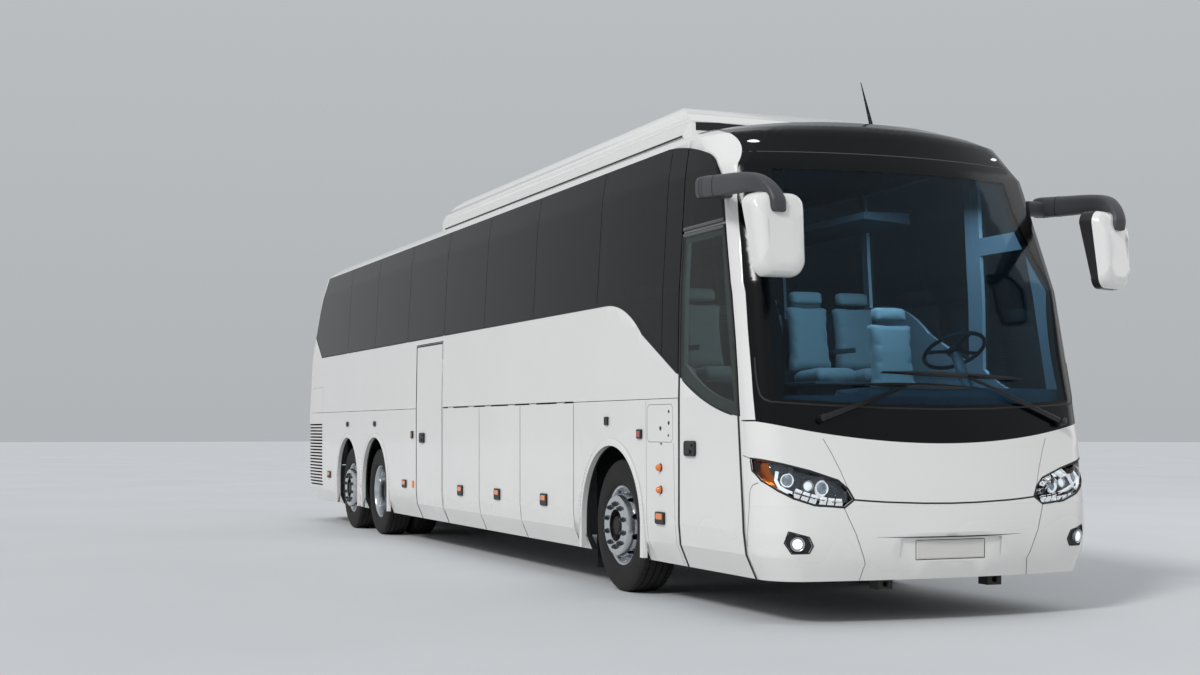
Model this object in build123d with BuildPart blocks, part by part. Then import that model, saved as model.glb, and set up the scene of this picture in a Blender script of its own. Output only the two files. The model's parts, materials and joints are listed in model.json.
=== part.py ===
from build123d import *
import math
import os

os.makedirs("parts", exist_ok=True)

# Three-axle touring coach. Millimetres, +Z up, wheels on Z = 0. The nose faces -Y, so the
# passenger doors, on the coach's right, are at -X. Stations run rearwards from the nose, and
# the origin is on the ground under the middle of the overall box.
LENGTH = 14350
MIRROR_AHEAD = 60
FRONT_Y = -(LENGTH - MIRROR_AHEAD) / 2
RIGHT, LEFT = -1, 1
SIDE_NAMES = {RIGHT: "right", LEFT: "left"}

# Walls and running clearances.
WALL = 50
GLASS = 20
SEAT_GAP = 0.3
SEAM = 10
REACH = 1600
HALF_WIDTH = 1300

# Heights of the body's main lines.
SKIRT_BOTTOM = 290
BUMPER_TOP = 776
WAIST_LINE = 1500
SILL_LINE = 2262
CANT_LINE = 3350
ABOVE_ROOF = 3900
FLOOR_TOP = 1300
FLOOR_THICK = 45
PLATFORM_TOP = 1100

# Stations of the right side's joints; the left side is its mirror image.
DOOR_REAR = 1535
HATCH_JOINTS = (3620, 4980, 6200, 7475)
MID_DOOR_REAR = 8504
SIDE_END = 13900
LOWER_END = 14205
WINDOW_JOINTS = (1545, 3136, 4672, 6097, 7462, 8900, 10392, 11817)
FIRST_PANE_SPLIT = 1835
MID_DOOR_TOP = 2200

# Running gear.
TYRE_RADIUS = 522
TYRE_WIDTH = 298
TREAD_WIDTH = 250
RIM_RADIUS = 286
TRACK_HALF = 1095
TWIN_SPACING = 340
RIM_BACK = 60
HUB_FACE = TRACK_HALF - RIM_BACK
KINGPIN_X = HUB_FACE - 80
FRONT_AXLE = 2754
DRIVE_AXLE = 10365
TAG_AXLE = 11761

# Planes whose local origin is on the ground under the middle of the nose.
SIDE_VIEW = Plane(origin=(0, FRONT_Y, 0), x_dir=(0, 1, 0), z_dir=(1, 0, 0))


def cross_plane(station):
    return Plane(origin=(0, FRONT_Y + station, 0), x_dir=(1, 0, 0), z_dir=(0, -1, 0))


def trace(outline):
    """Lines to (u, v) points and arcs to (through u, through v, u, v) ones, closed at the end."""
    here = outline[0]
    for step in (*outline[1:], outline[0]):
        if len(step) == 4:
            ThreePointArc(here, step[:2], step[2:])
        elif step != here:
            Line(here, step)
        here = step[-2:]


def side_region(outline, side, inner=0, outer=REACH):
    """Prism over one side of the coach; the outline is in (station, height)."""
    with BuildPart(mode=Mode.PRIVATE) as region:
        with BuildSketch(SIDE_VIEW.offset(side * inner)):
            with BuildLine():
                trace(outline)
            make_face()
        extrude(amount=side * (outer - inner))
    return region.part


def cross_region(outline, start, end):
    """Prism along the coach from one station to another; the outline is in (x, height)."""
    with BuildPart(mode=Mode.PRIVATE) as region:
        with BuildSketch(cross_plane(start)):
            with BuildLine():
                trace(outline)
            make_face()
        extrude(amount=start - end)
    return region.part


def rectangle(u0, u1, v0, v1):
    return ((u0, v0), (u1, v0), (u1, v1), (u0, v1))


def block(x0, x1, y0, y1, z0, z1):
    with BuildPart(mode=Mode.PRIVATE) as solid:
        with Locations(((x0 + x1) / 2, FRONT_Y + (y0 + y1) / 2, (z0 + z1) / 2)):
            Box(abs(x1 - x0), abs(y1 - y0), abs(z1 - z0))
    return solid.part


def side_block(side, x0, x1, y0, y1, z0, z1):
    return block(*sorted((side * x0, side * x1)), y0, y1, z0, z1)


def disc(side, x0, x1, radius, station):
    """Disc about an axle's line, between two distances from the middle."""
    start, end = sorted((side * x0, side * x1))
    with BuildPart(mode=Mode.PRIVATE) as solid:
        with BuildSketch(Plane(origin=(start, FRONT_Y + station, TYRE_RADIUS), x_dir=(0, 1, 0), z_dir=(1, 0, 0))):
            Circle(radius)
        extrude(amount=end - start)
    return solid.part


def post(x, station, z0, z1, radius):
    with BuildPart(mode=Mode.PRIVATE) as solid:
        with BuildSketch(Plane(origin=(x, FRONT_Y + station, z0))):
            Circle(radius)
        extrude(amount=z1 - z0)
    return solid.part


def shaped(base, *regions, cuts=(), extras=()):
    """The base limited to the regions, less the cuts, with the extras fused on."""
    with BuildPart(mode=Mode.PRIVATE) as piece:
        add(base)
        for region in regions:
            add(region, mode=Mode.INTERSECT)
        for cut in cuts:
            add(cut, mode=Mode.SUBTRACT)
        for extra in extras:
            add(extra)
    return piece.part


def together(*solids):
    with BuildPart(mode=Mode.PRIVATE) as group:
        for solid in solids:
            add(solid)
    return group.part


def keep(part, name):
    part.label = name
    export_step(part, f"parts/{name}.step")


# Body envelope: at each height the side is drawn in from the half width; then for nose and
# tail the centre's station, the end of the shallow front arc in x and station, and the
# station where the straight side begins or ends.
ENVELOPE = (
    # height, drawn in, nose, nose x, nose y, side from, tail, tail x, tail y, side to
    (290, 80, 70, 1025, 165, 420, 14230, 1015, 14185, 13980),
    (450, 13, 15, 1075, 130, 420, 14310, 1065, 14265, 14045),
    (600, 0, 0, 1090, 120, 420, 14350, 1075, 14300, 14070),
    (776, 0, 28, 1095, 150, 420, 14350, 1075, 14300, 14070),
    (1193, 0, 105, 1140, 245, 460, 14350, 1075, 14300, 14070),
    (1500, 0, 165, 1150, 320, 520, 14345, 1075, 14295, 14065),
    (2262, 13, 340, 1150, 490, 710, 14215, 1065, 14165, 13940),
    (3100, 62, 652, 1101, 832, 1052, 13752, 1022, 13702, 13497),
    (CANT_LINE, 100, 768, 890, 940, 1400, 13614, 980, 13560, 13300),
)
DOME = (
    # the same columns, from the cant line over the roof's edge to its crown
    *ENVELOPE[-2:],
    (3400, 140, 820, 770, 985, 1650, 13555, 850, 13500, 13060),
    (3455, 220, 950, 610, 1095, 2000, 13470, 700, 13400, 12760),
    (3500, 350, 1160, 470, 1300, 2250, 13300, 540, 13220, 12520),
    (3530, 620, 1560, 320, 1680, 2450, 12980, 360, 12880, 12250),
    (3550, 920, 1900, 190, 2000, 2700, 12600, 190, 12500, 11900),
)
SIDE_LEAN = 0.25


def envelope(inset, rows=ENVELOPE):
    """The outer form, drawn in all round by an inset."""
    with BuildPart(mode=Mode.PRIVATE) as form:
        for height, drawn_in, nose, nose_x, nose_y, side_from, tail, tail_x, tail_y, side_to in rows:
            w = HALF_WIDTH - drawn_in - inset
            nx, tx = nose_x - SIDE_LEAN * inset, tail_x - SIDE_LEAN * inset
            front, ny = nose + inset, nose_y + inset
            back, ty = tail - inset, tail_y - inset
            with BuildSketch(Plane(origin=(0, FRONT_Y, height))):
                with BuildLine():
                    ThreePointArc((-nx, ny), (0, front), (nx, ny))
                    TangentArc((w, side_from), (nx, ny), tangent=(0, -1))
                    Line((w, side_from), (w, side_to))
                    TangentArc((w, side_to), (tx, ty), tangent=(0, 1))
                    ThreePointArc((tx, ty), (0, back), (-tx, ty))
                    TangentArc((-w, side_to), (-tx, ty), tangent=(0, 1))
                    Line((-w, side_to), (-w, side_from))
                    TangentArc((-w, side_from), (-nx, ny), tangent=(0, -1))
                make_face()
        loft(ruled=True)
    return form.part


ROOF_WALL = 45
outer_form = envelope(0)
inner_form = envelope(WALL)
panel_layer = shaped(outer_form, cuts=(inner_form,))
glass_layer = shaped(outer_form, cuts=(envelope(GLASS),))
frame_layer = shaped(envelope(GLASS + SEAT_GAP), cuts=(inner_form,))
dome_form = envelope(0, DOME)
dome_layer = shaped(dome_form, cuts=(Location((0, 0, -ROOF_WALL)) * envelope(WALL, DOME),))

# Front-corner lines in side view: the black front's rear edge, which runs up the screen and
# round the cap, and the doorway's front edge, which the white arch carries on over the door.
DOOR_TOP = 2685
SCREEN_EDGE = ((340, 1193), (385, 1350), (453, 1671), (511, 1926), (564, 2184), (652, 2447), (734, 2675),
               (796, 2852), (856, 3047), (868, 3100))
DOOR_FRONT = ((440, 290), (480, 730), (550, 1400), (587, 1675), (632, 1932), (686, 2192), (771, 2457),
              (842, DOOR_TOP))
CAP_REAR = 1650
CAP_EDGE = ((966, 3249, 1098, 3345), (1376, 3414, CAP_REAR, 3470))
ARCH_INSIDE = ((1900, CANT_LINE), (1430, 3280, 1173, 3207), (1000, 3085, 924, 2952), DOOR_FRONT[-1])
ARCH_REAR = DOOR_REAR + 4
# The black glass band dips in a wave behind the front door.
WAVE_REAR = (2950, SILL_LINE)
WAVE_LOW = (2206, 1997)
WAVE_DOOR = (DOOR_REAR, 1667)
WAVE_FRONT = (584, 1365)
# Front-view lines: the cap's lower edge and the foot of the screen.
CAP_FOOT = ((-REACH, 3118), (-1165, 3118), (-1085, 3158, -960, 3180), (0, 3192, 960, 3180),
            (1085, 3158, 1165, 3118), (REACH, 3118))
SCREEN_FOOT = ((-1275, 1330), (0, 1184, 1275, 1330))


def moved(outline, across=0, up=0):
    """The same steps shifted; the arcs' through points move with their ends."""
    shift = (across, up, across, up)
    return tuple(tuple(value + by for value, by in zip(step, shift)) for step in outline)


# Black cap over the screen with the aerial on it, and the roof behind it.
BLACK_FRONT = ((-100, 1100), (330, 1100), *SCREEN_EDGE, *CAP_EDGE, (CAP_REAR, ABOVE_ROOF), (-100, ABOVE_ROOF))
CAP_FRONT = (*CAP_FOOT, (REACH, ABOVE_ROOF), (-REACH, ABOVE_ROOF))
black_front = side_region(BLACK_FRONT, LEFT, -REACH)
black_front_seated = side_region(moved(BLACK_FRONT, -SEAT_GAP), LEFT, -REACH)
front_cap = shaped(dome_layer, black_front_seated, cross_region(CAP_FRONT, -100, CAP_REAR))
AERIAL = (
    # x, station, height, radius at the foot and at the tip
    (20, 1060, 3450, 16),
    (20, 1215, 3809, 3),
)
with BuildPart() as aerial:
    for x, y, z, radius in AERIAL:
        with BuildSketch(Plane(origin=(x, FRONT_Y + y, z))):
            Circle(radius)
    loft(ruled=True)
keep(together(front_cap, aerial.part), "front_cap")
keep(shaped(dome_layer, block(-REACH, REACH, ARCH_REAR + 1, LENGTH, CANT_LINE, ABOVE_ROOF),
            cuts=(black_front,)), "roof")

# Air-conditioning pod on the roof, with a sloped nose and tail.
POD_FOOT = 3380
POD_FRONT = 1830
POD_REAR = 8300
POD_TOP = 3770
POD_HALF = 1050
pod_across = (
    (-POD_HALF, POD_FOOT), (POD_HALF, POD_FOOT), (POD_HALF, 3560), (1010, 3690, 900, POD_TOP - 30),
    (0, POD_TOP, -900, POD_TOP - 30), (-1010, 3690, -POD_HALF, 3560),
)
pod_along = (
    (POD_FRONT, POD_FOOT), (POD_FRONT, 3565), (1903, 3620), (2060, 3694, 2250, 3731), (2750, POD_TOP),
    (7350, POD_TOP), (7630, 3740), (8150, 3620), (POD_REAR, 3560), (POD_REAR, POD_FOOT),
)
keep(shaped(cross_region(pod_across, POD_FRONT, POD_REAR), side_region(pod_along, LEFT, -REACH),
            cuts=(dome_form,)), "roof_pod")

# Windscreen, from its foot to the cap's lower edge.
screen_front = cross_region(((-REACH, 1330), *SCREEN_FOOT, (REACH, 1330), (REACH, CANT_LINE),
                             (-REACH, CANT_LINE)), -100, 1000)
under_cap = cross_region(moved(CAP_FRONT, 0, -SEAT_GAP), -100, CAP_REAR)
keep(shaped(glass_layer, screen_front, black_front_seated, cuts=(under_cap,)), "windscreen")

# White pillars beside the screen, which arch over the quarter panes above the doors. The
# right one also holds the top of the door's post.
PILLAR_FOOT = 1340
pillar_side = ((300, PILLAR_FOOT), (300, CANT_LINE), *ARCH_INSIDE,
               *moved(reversed(DOOR_FRONT[2:-1]), -SEAT_GAP), (543, PILLAR_FOOT))
quarter_frame = rectangle(DOOR_FRONT[-1][0], ARCH_REAR, DOOR_TOP, CANT_LINE)
QUARTER_LIGHT = ((930, 2745), (1450, 2745), (1450, 3225), (1240, 3165, 1010, 2960))
arch_top = shaped(dome_layer, block(-REACH, REACH, 900, ARCH_REAR, CANT_LINE, ABOVE_ROOF), cuts=(black_front,))
POST_TOP = 2300
post_bracket = shaped(together(block(-1240, -1078, 600, 660, POST_TOP + SEAT_GAP, POST_TOP + 20),
                               block(-1165, -1078, 600, 802, POST_TOP + SEAT_GAP, POST_TOP + 20)),
                      envelope(GLASS + SEAT_GAP))
pillars = []
for side in (RIGHT, LEFT):
    pillar = shaped(panel_layer, side_region(pillar_side, side, 300),
                    block(-REACH, REACH, 0, ARCH_REAR, 0, CANT_LINE), cuts=(black_front,))
    frame = shaped(frame_layer, side_region(quarter_frame, side, 300),
                   cuts=(side_region(QUARTER_LIGHT, side, 300), black_front))
    arch = shaped(arch_top, side_block(side, 0, REACH, 0, ARCH_REAR, CANT_LINE, ABOVE_ROOF))
    extras = (frame, arch, post_bracket) if side == RIGHT else (frame, arch)
    pillars.append(shaped(pillar, extras=extras))
keep(together(*pillars), "windscreen_pillars")

# Nose below the screen: mask with the headlamps let in, then the bumper in three parts.
HEADLAMP = ((713, 822), (776, 777), (975, 793), (1110, 838), (1190, 885), (1262, 948), (1292, 1010),
            (1294, 1084), (1180, 1052), (990, 1003), (805, 940), (745, 885))
FOG_LAMP = ((1000, 525), (1028, 578), (1150, 612), (1168, 545), (1128, 480), (1022, 482))
BUMPER_SEAM = ((782, BUMPER_TOP), (632, 402), (655, SKIRT_BOTTOM))
BUMPER_GAP = 3
PLATE_RECESS = ((-395, 420), (-272, 402), (272, 402), (395, 420), (395, 565), (-395, 565))
PLATE_FACE = 37
NOSE_END = 620
nose_side = side_region(((-100, 200), (DOOR_FRONT[0][0] - SEAM / 2, 200), *moved(DOOR_FRONT[:3], -SEAM / 2),
                         (-100, DOOR_FRONT[2][1])), LEFT, -REACH)


def mirrored(outline, side):
    return tuple((side * x, z) for x, z in outline)


lamp_cuts = [shaped(cross_region(mirrored(HEADLAMP, side), -100, NOSE_END), nose_side) for side in (RIGHT, LEFT)]
fog_cuts = [cross_region(mirrored(FOG_LAMP, side), -100, NOSE_END) for side in (RIGHT, LEFT)]
mask_front = ((-REACH, BUMPER_TOP + SEAT_GAP), (REACH, BUMPER_TOP + SEAT_GAP), (REACH, 1335),
              (1275, 1330 - SEAT_GAP), (0, 1184 - SEAT_GAP, -1275, 1330 - SEAT_GAP), (-REACH, 1335))
keep(shaped(panel_layer, cross_region(mask_front, -100, NOSE_END), nose_side, cuts=lamp_cuts), "mask")
lamp_form = shaped(envelope(6), cuts=(inner_form,))
keep(together(*(shaped(lamp_form, cut) for cut in (*lamp_cuts, *fog_cuts))), "front_lamps")

TOW_HEIGHT = 258
bumper_front = cross_region(rectangle(-REACH, REACH, SKIRT_BOTTOM, BUMPER_TOP), -100, NOSE_END)
middle_front = (*((x - BUMPER_GAP, z) for x, z in BUMPER_SEAM),
                *((BUMPER_GAP - x, z) for x, z in reversed(BUMPER_SEAM)))
bumper_parts = [shaped(panel_layer, bumper_front, nose_side, cross_region(middle_front, -100, NOSE_END),
                       cuts=(cross_region(PLATE_RECESS, -100, PLATE_FACE),))]
for side in (RIGHT, LEFT):
    inboard = (*((x + BUMPER_GAP, z) for x, z in BUMPER_SEAM), (0, SKIRT_BOTTOM), (0, BUMPER_TOP))
    bumper_parts.append(shaped(panel_layer, bumper_front, nose_side, side_block(side, 300, REACH, -100, 700, 0, 2000),
                               cuts=(cross_region(mirrored(inboard, side), -100, NOSE_END), *fog_cuts)))
keep(together(*bumper_parts), "bumper")

# Side walls. Every hinged panel hangs on round knuckles in its seam.
KNUCKLE = 3.25
KNUCKLE_LENGTH = 60
HINGE_X = HALF_WIDTH - SEAM / 2
HINGE_APART = 350
MID_HINGES = (1640, 1920)
ALONG_X, ALONG_Y, ALONG_Z = (1, 0, 0), (0, 1, 0), (0, 0, 1)
UP, DOWN, AHEAD, BACK = (0, 0, 1), (0, 0, -1), (0, -1, 0), (0, 1, 0)


def knuckles(centre, along, leaf_way, moving):
    """Knuckles on a hinge line with their leaves: a moving one between two fixed ones.

    The centre is in x, station and height, and leaf_way points at the panel that carries them.
    """
    half = KNUCKLE_LENGTH / 2
    spans = ((-half, half),) if moving else ((-3 * half, -half - SEAT_GAP), (half + SEAT_GAP, 3 * half))
    axis, way = Vector(*along), Vector(*leaf_way)
    origin = Vector(centre[0], FRONT_Y + centre[1], centre[2])
    rows = []
    for low, high in spans:
        with BuildPart(mode=Mode.PRIVATE) as knuckle:
            with BuildSketch(Plane(origin=origin + axis * low, x_dir=way, z_dir=axis)):
                Circle(KNUCKLE)
            extrude(amount=high - low)
            with BuildSketch(Plane(origin=origin + axis * low, x_dir=way, z_dir=axis)):
                with Locations((SEAM / 2, 0)):
                    Rectangle(SEAM, 2 * KNUCKLE)
            extrude(amount=high - low)
        rows.append(knuckle.part)
    return rows


HATCH_TOP = WAIST_LINE - SEAM / 2
WAIST_BOTTOM = WAIST_LINE + SEAM / 2
TAIL_EDGE = ((SIDE_END, 2610), (13290, CANT_LINE))
seam = SEAM / 2
ARCHES = {
    # name: (centre station, radius of the opening, height of its centre)
    "front": (2802, 607, 542),
    "drive": (10343, 601, 576),
    "tag": (11762, 559, 609),
}
LIP_WIDTH = 55
LIP_PROUD = 12


def arch_outline(name, grow=0):
    y, radius, z = ARCHES[name]
    r = radius + grow
    return ((y - r, 200), (y - r, z), (y, z + r, y + r, z), (y + r, 200))


def arch_lip(name, side):
    lip = side_region(arch_outline(name, LIP_WIDTH), side, HALF_WIDTH - WALL / 2, HALF_WIDTH + LIP_PROUD)
    return shaped(lip, side_region(rectangle(0, LENGTH, 310, 1400), side))


HANDLES = {
    # hatch number: station and height of its black pull handle with the amber reflector
    1: (4337, 662), 2: (5629, 662), 3: (6817, 656),
}
HANDLE_LONG, HANDLE_TALL, HANDLE_PROUD = 150, 46, 14
GRILLE_START, GRILLE_END, GRILLE_LOW, GRILLE_HIGH = 13285, 14165, 490, 1360
SLOTS = 20
slot_pitch = (GRILLE_HIGH - GRILLE_LOW) / SLOTS
# The glass band's outline: the wave, the sill, the tail edge, the cant line and the front arch.
GLASS_BAND = ((500, WAVE_FRONT[1]), WAVE_FRONT, (1070, 1470, *WAVE_DOOR), WAVE_LOW, (2560, 2200, *WAVE_REAR),
              (13354, SILL_LINE), (13880, 2605), (13260, CANT_LINE + 1), (1900, CANT_LINE + 1), *ARCH_INSIDE,
              (500, DOOR_TOP))
PILLAR, RAIL, PANE_JOINT = 90, 60, 8
first_start, first_end = WINDOW_JOINTS[0] + PILLAR, WINDOW_JOINTS[1] - PILLAR / 2
FIRST_LIGHT = ((first_start, CANT_LINE - 90), (first_start, WAVE_DOOR[1] + 2 * RAIL),
               (WAVE_LOW[0], WAVE_LOW[1] + RAIL), (2560, 2200 + RAIL, WAVE_REAR[0], SILL_LINE + RAIL),
               (first_end, SILL_LINE + RAIL), (first_end, CANT_LINE - RAIL), (1950, CANT_LINE - RAIL))
DRIVER_LIGHT = ((655, 1460), (1070, 1550, 1455, 1740), (1455, 2610), (900, 2610))
driver_window = (*moved(DOOR_FRONT[2:], SEAM), (DOOR_REAR, DOOR_TOP), (DOOR_REAR, DOOR_FRONT[2][1] - 50),
                 (DOOR_FRONT[2][0], DOOR_FRONT[2][1] - 50))


def hatch_knuckles(side, number, leaf_way, moving):
    """Both hinges of a hatch, on its top edge."""
    middle = (HATCH_JOINTS[number - 1] + HATCH_JOINTS[number]) / 2
    return [k for at in (middle - HINGE_APART, middle + HINGE_APART)
            for k in knuckles((side * HINGE_X, at, WAIST_LINE), ALONG_Y, leaf_way, moving)]


def mid_knuckles(leaf_way, moving):
    """Both hinges of the middle door, on its front edge."""
    return [k for z in MID_HINGES
            for k in knuckles((-HINGE_X, HATCH_JOINTS[-1], z), ALONG_Z, leaf_way, moving)]


for side, name in SIDE_NAMES.items():
    # Front panel between the doorway, or on the left the nose, and the first hatch.
    arch_cut = side_region(arch_outline("front"), side, 900)
    glazed = side_region(GLASS_BAND, side, 300)
    edge = HATCH_JOINTS[0] - seam
    if side == RIGHT:
        lower = rectangle(DOOR_REAR + seam, edge, SKIRT_BOTTOM, WAIST_LINE)
    else:
        lower = (*moved(DOOR_FRONT[:3], seam), (564 + seam, WAIST_LINE), (edge, WAIST_LINE), (edge, SKIRT_BOTTOM))
    lip = shaped(arch_lip("front", side), cuts=(arch_cut,))
    keep(shaped(shaped(panel_layer, side_region(lower, side, 300), cuts=(glazed, arch_cut)), extras=(lip,)),
         f"side_panel_front_{name}")

    # Rear panel from the mid door to the tail corner, with the louvred engine-room grille.
    rear_start = (MID_DOOR_REAR if side == RIGHT else HATCH_JOINTS[-1]) + seam
    rear_lower = rectangle(rear_start, LOWER_END, SKIRT_BOTTOM, WAIST_LINE)
    arch_cuts = [side_region(arch_outline(axle), side, 500) for axle in ("drive", "tag")]
    lips = [shaped(arch_lip(axle, side), cuts=arch_cuts) for axle in ("drive", "tag")]
    slots = []
    for n in range(SLOTS):
        low = GRILLE_LOW + slot_pitch * (n + 0.25)
        slots.append(side_region(rectangle(GRILLE_START, GRILLE_END, low, low + slot_pitch / 2), side, 900))
    keep(shaped(shaped(panel_layer, side_region(rear_lower, side, 900), cuts=(*arch_cuts, *slots)), extras=lips),
         f"side_panel_rear_{name}")

    # Luggage hatches, hinged along their top edges.
    for number, (y, z) in HANDLES.items():
        leaf = rectangle(HATCH_JOINTS[number - 1] + seam, HATCH_JOINTS[number] - seam, SKIRT_BOTTOM, HATCH_TOP)
        handle = side_block(side, HALF_WIDTH - WALL / 2, HALF_WIDTH + HANDLE_PROUD, y - HANDLE_LONG / 2,
                            y + HANDLE_LONG / 2, z - HANDLE_TALL / 2, z + HANDLE_TALL / 2)
        keep(shaped(panel_layer, side_region(leaf, side, 900),
                    extras=(handle, *hatch_knuckles(side, number, DOWN, True))), f"hatch_{name}_{number}")

    # Waist panel and window frame in one, with the mid doorway cut in on the right and the
    # driver's window on the left.
    front_edge = ((DOOR_REAR + seam, CANT_LINE), (DOOR_REAR + seam, WAIST_BOTTOM))
    openings = [rectangle(start + PILLAR / 2, end - PILLAR / 2, SILL_LINE + RAIL, CANT_LINE - RAIL)
                for start, end in zip(WINDOW_JOINTS[1:], (*WINDOW_JOINTS[2:], 13200))]
    openings.append(FIRST_LIGHT)
    hinges = [k for number in HANDLES for k in hatch_knuckles(side, number, UP, False)]
    if side == RIGHT:
        openings.append(rectangle(HATCH_JOINTS[-1] - seam, MID_DOOR_REAR + seam, WAIST_LINE - 50,
                                  MID_DOOR_TOP + seam))
        hinges += mid_knuckles(AHEAD, False)
    else:
        front_edge = ((DOOR_REAR + seam, CANT_LINE), (DOOR_REAR + seam, DOOR_TOP - SEAT_GAP),
                      (DOOR_FRONT[-1][0], DOOR_TOP - SEAT_GAP), *moved(reversed(DOOR_FRONT[3:-1]), SEAT_GAP),
                      (564 + SEAT_GAP, WAIST_BOTTOM))
        openings.append(DRIVER_LIGHT)
    wall = side_region((*front_edge, (SIDE_END, WAIST_BOTTOM), *TAIL_EDGE), side, 300)
    side_frame = together(shaped(panel_layer, wall, cuts=(glazed,)), shaped(frame_layer, wall, glazed))
    keep(shaped(shaped(side_frame, cuts=[side_region(opening, side, 300) for opening in openings]), extras=hinges),
         f"side_frame_{name}")

    # Flush panes, a joint's width apart, with the quarter pane over the door.
    starts = sorted((*WINDOW_JOINTS, FIRST_PANE_SPLIT))
    panes = [rectangle(start + PANE_JOINT / 2, end - PANE_JOINT / 2, WAIST_LINE, CANT_LINE - SEAT_GAP)
             for start, end in zip(starts, (*starts[1:], SIDE_END - 20))]
    panes.append(rectangle(DOOR_FRONT[-1][0], DOOR_REAR, DOOR_TOP + SEAM, CANT_LINE))
    if side == LEFT:
        panes.append(driver_window)
    keep(together(*(shaped(glass_layer, side_region(pane, side, 300), glazed) for pane in panes)),
         f"side_glass_{name}")

# Tail: upper wall with the rear window, corner and bumper panel, lamps, and the engine lid.
tail_upper = ((SIDE_END + SEAT_GAP, WAIST_BOTTOM), *moved(TAIL_EDGE, SEAT_GAP),
              (LENGTH + 100, CANT_LINE), (LENGTH + 100, WAIST_BOTTOM))
tail_lower = rectangle(LOWER_END + SEAT_GAP, LENGTH + 100, SKIRT_BOTTOM, WAIST_LINE)
LID_HALF = 950
LID_HINGE_X = 260
LID_BOTTOM = 760
TAIL_LAMPS = ((1520, 1690), (1230, 1350), (550, 690))
TAIL_LAMP_SPAN = (1100, 1247)
REAR_WINDOW = ((-930, 2180), (930, 2180), (870, 3000), (-870, 3000))
lid_hinge_y = LENGTH - 10
BEHIND = LENGTH + 100
window_region = cross_region(REAR_WINDOW, SIDE_END - 600, BEHIND)
lamp_regions = [cross_region(rectangle(side * TAIL_LAMP_SPAN[0], side * TAIL_LAMP_SPAN[1], low, high),
                             (SIDE_END if low > WAIST_LINE else LOWER_END) + SEAT_GAP, BEHIND)
                for side in (RIGHT, LEFT) for low, high in TAIL_LAMPS]
lid_region = cross_region(rectangle(-LID_HALF - seam, LID_HALF + seam, LID_BOTTOM - seam, WAIST_LINE),
                          SIDE_END, BEHIND)


def lid_knuckles(leaf_way, moving):
    """Both hinges of the engine lid, on its top edge."""
    return [k for x in (-LID_HINGE_X, LID_HINGE_X)
            for k in knuckles((x, lid_hinge_y, WAIST_LINE), ALONG_X, leaf_way, moving)]


rear_wall = shaped(panel_layer, side_region(tail_upper, LEFT, -REACH), cuts=(window_region, *lamp_regions),
                   extras=lid_knuckles(UP, False))
keep(rear_wall, "rear_wall")
keep(shaped(glass_layer, window_region), "rear_window")
keep(shaped(panel_layer, side_region(tail_lower, LEFT, -REACH), cuts=(lid_region, *lamp_regions)),
     "rear_bumper")
tail_lamps = [shaped(lamp_form, region) for region in lamp_regions]
lid_leaf = cross_region(rectangle(-LID_HALF + seam, LID_HALF - seam, LID_BOTTOM + seam, HATCH_TOP),
                        SIDE_END + 200, BEHIND)
keep(shaped(panel_layer, lid_leaf, extras=lid_knuckles(DOWN, True)), "engine_lid")

# Front door: one leaf on two swing arms, so that it opens outwards and slides forwards.
DOOR_SEAM = 12


def door_handle(station, height):
    return side_block(RIGHT, HALF_WIDTH - 20, HALF_WIDTH + 16, station - 70, station + 70, height - 22, height + 22)


leaf_region = side_region((*moved(DOOR_FRONT[:-1], DOOR_SEAM), (DOOR_FRONT[-1][0] + DOOR_SEAM, DOOR_TOP - seam),
                           (DOOR_REAR - seam, DOOR_TOP - seam), (DOOR_REAR - seam, SKIRT_BOTTOM)), RIGHT, 300)
door_glazed = side_region(GLASS_BAND, RIGHT, 300)
ARM_PIVOT = (-1100, 780)
ARM_LENGTH = 500
ARM_LEVELS = (540, 1385)
ARM_THICK = 30
PIN_RADIUS = 8
brackets = []
for level in ARM_LEVELS:
    top = level + ARM_THICK + SEAT_GAP
    pin_y = ARM_PIVOT[1] + ARM_LENGTH
    brackets.append(block(35 - HALF_WIDTH, ARM_PIVOT[0] + 16, pin_y - 18, pin_y + 18, top, top + 20))
    brackets.append(post(ARM_PIVOT[0], pin_y, level, top, PIN_RADIUS))
door_lower = shaped(panel_layer, leaf_region, cuts=(door_glazed,))
door_upper = shaped(frame_layer, leaf_region, door_glazed, cuts=(side_region(DRIVER_LIGHT, RIGHT, 300),))
keep(shaped(door_lower, extras=(door_upper, door_handle(1316, 1142), *brackets)), "front_door")
keep(shaped(glass_layer, leaf_region, door_glazed), "front_door_glass")

POST_RADIUS = 20
STEP_TOP = 380
with BuildPart() as door_arms:
    add(post(*ARM_PIVOT, STEP_TOP + SEAT_GAP, POST_TOP, POST_RADIUS))
    for level in ARM_LEVELS:
        with BuildSketch(Plane(origin=(ARM_PIVOT[0], FRONT_Y + ARM_PIVOT[1], level))):
            with Locations((0, ARM_LENGTH / 2)):
                SlotCenterToCenter(ARM_LENGTH, 30, rotation=90)
            with Locations((0, ARM_LENGTH)):
                Circle(PIN_RADIUS + SEAT_GAP, mode=Mode.SUBTRACT)
        extrude(amount=ARM_THICK)
keep(door_arms.part, "door_arms")

# Middle door: a plain leaf hinged at its front edge.
mid_leaf = side_region(rectangle(HATCH_JOINTS[-1] + seam, MID_DOOR_REAR - seam, SKIRT_BOTTOM,
                                 MID_DOOR_TOP - seam), RIGHT, 900)
keep(shaped(panel_layer, mid_leaf, extras=(door_handle(8233, 1182), *mid_knuckles(BACK, True))), "mid_door")

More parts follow.
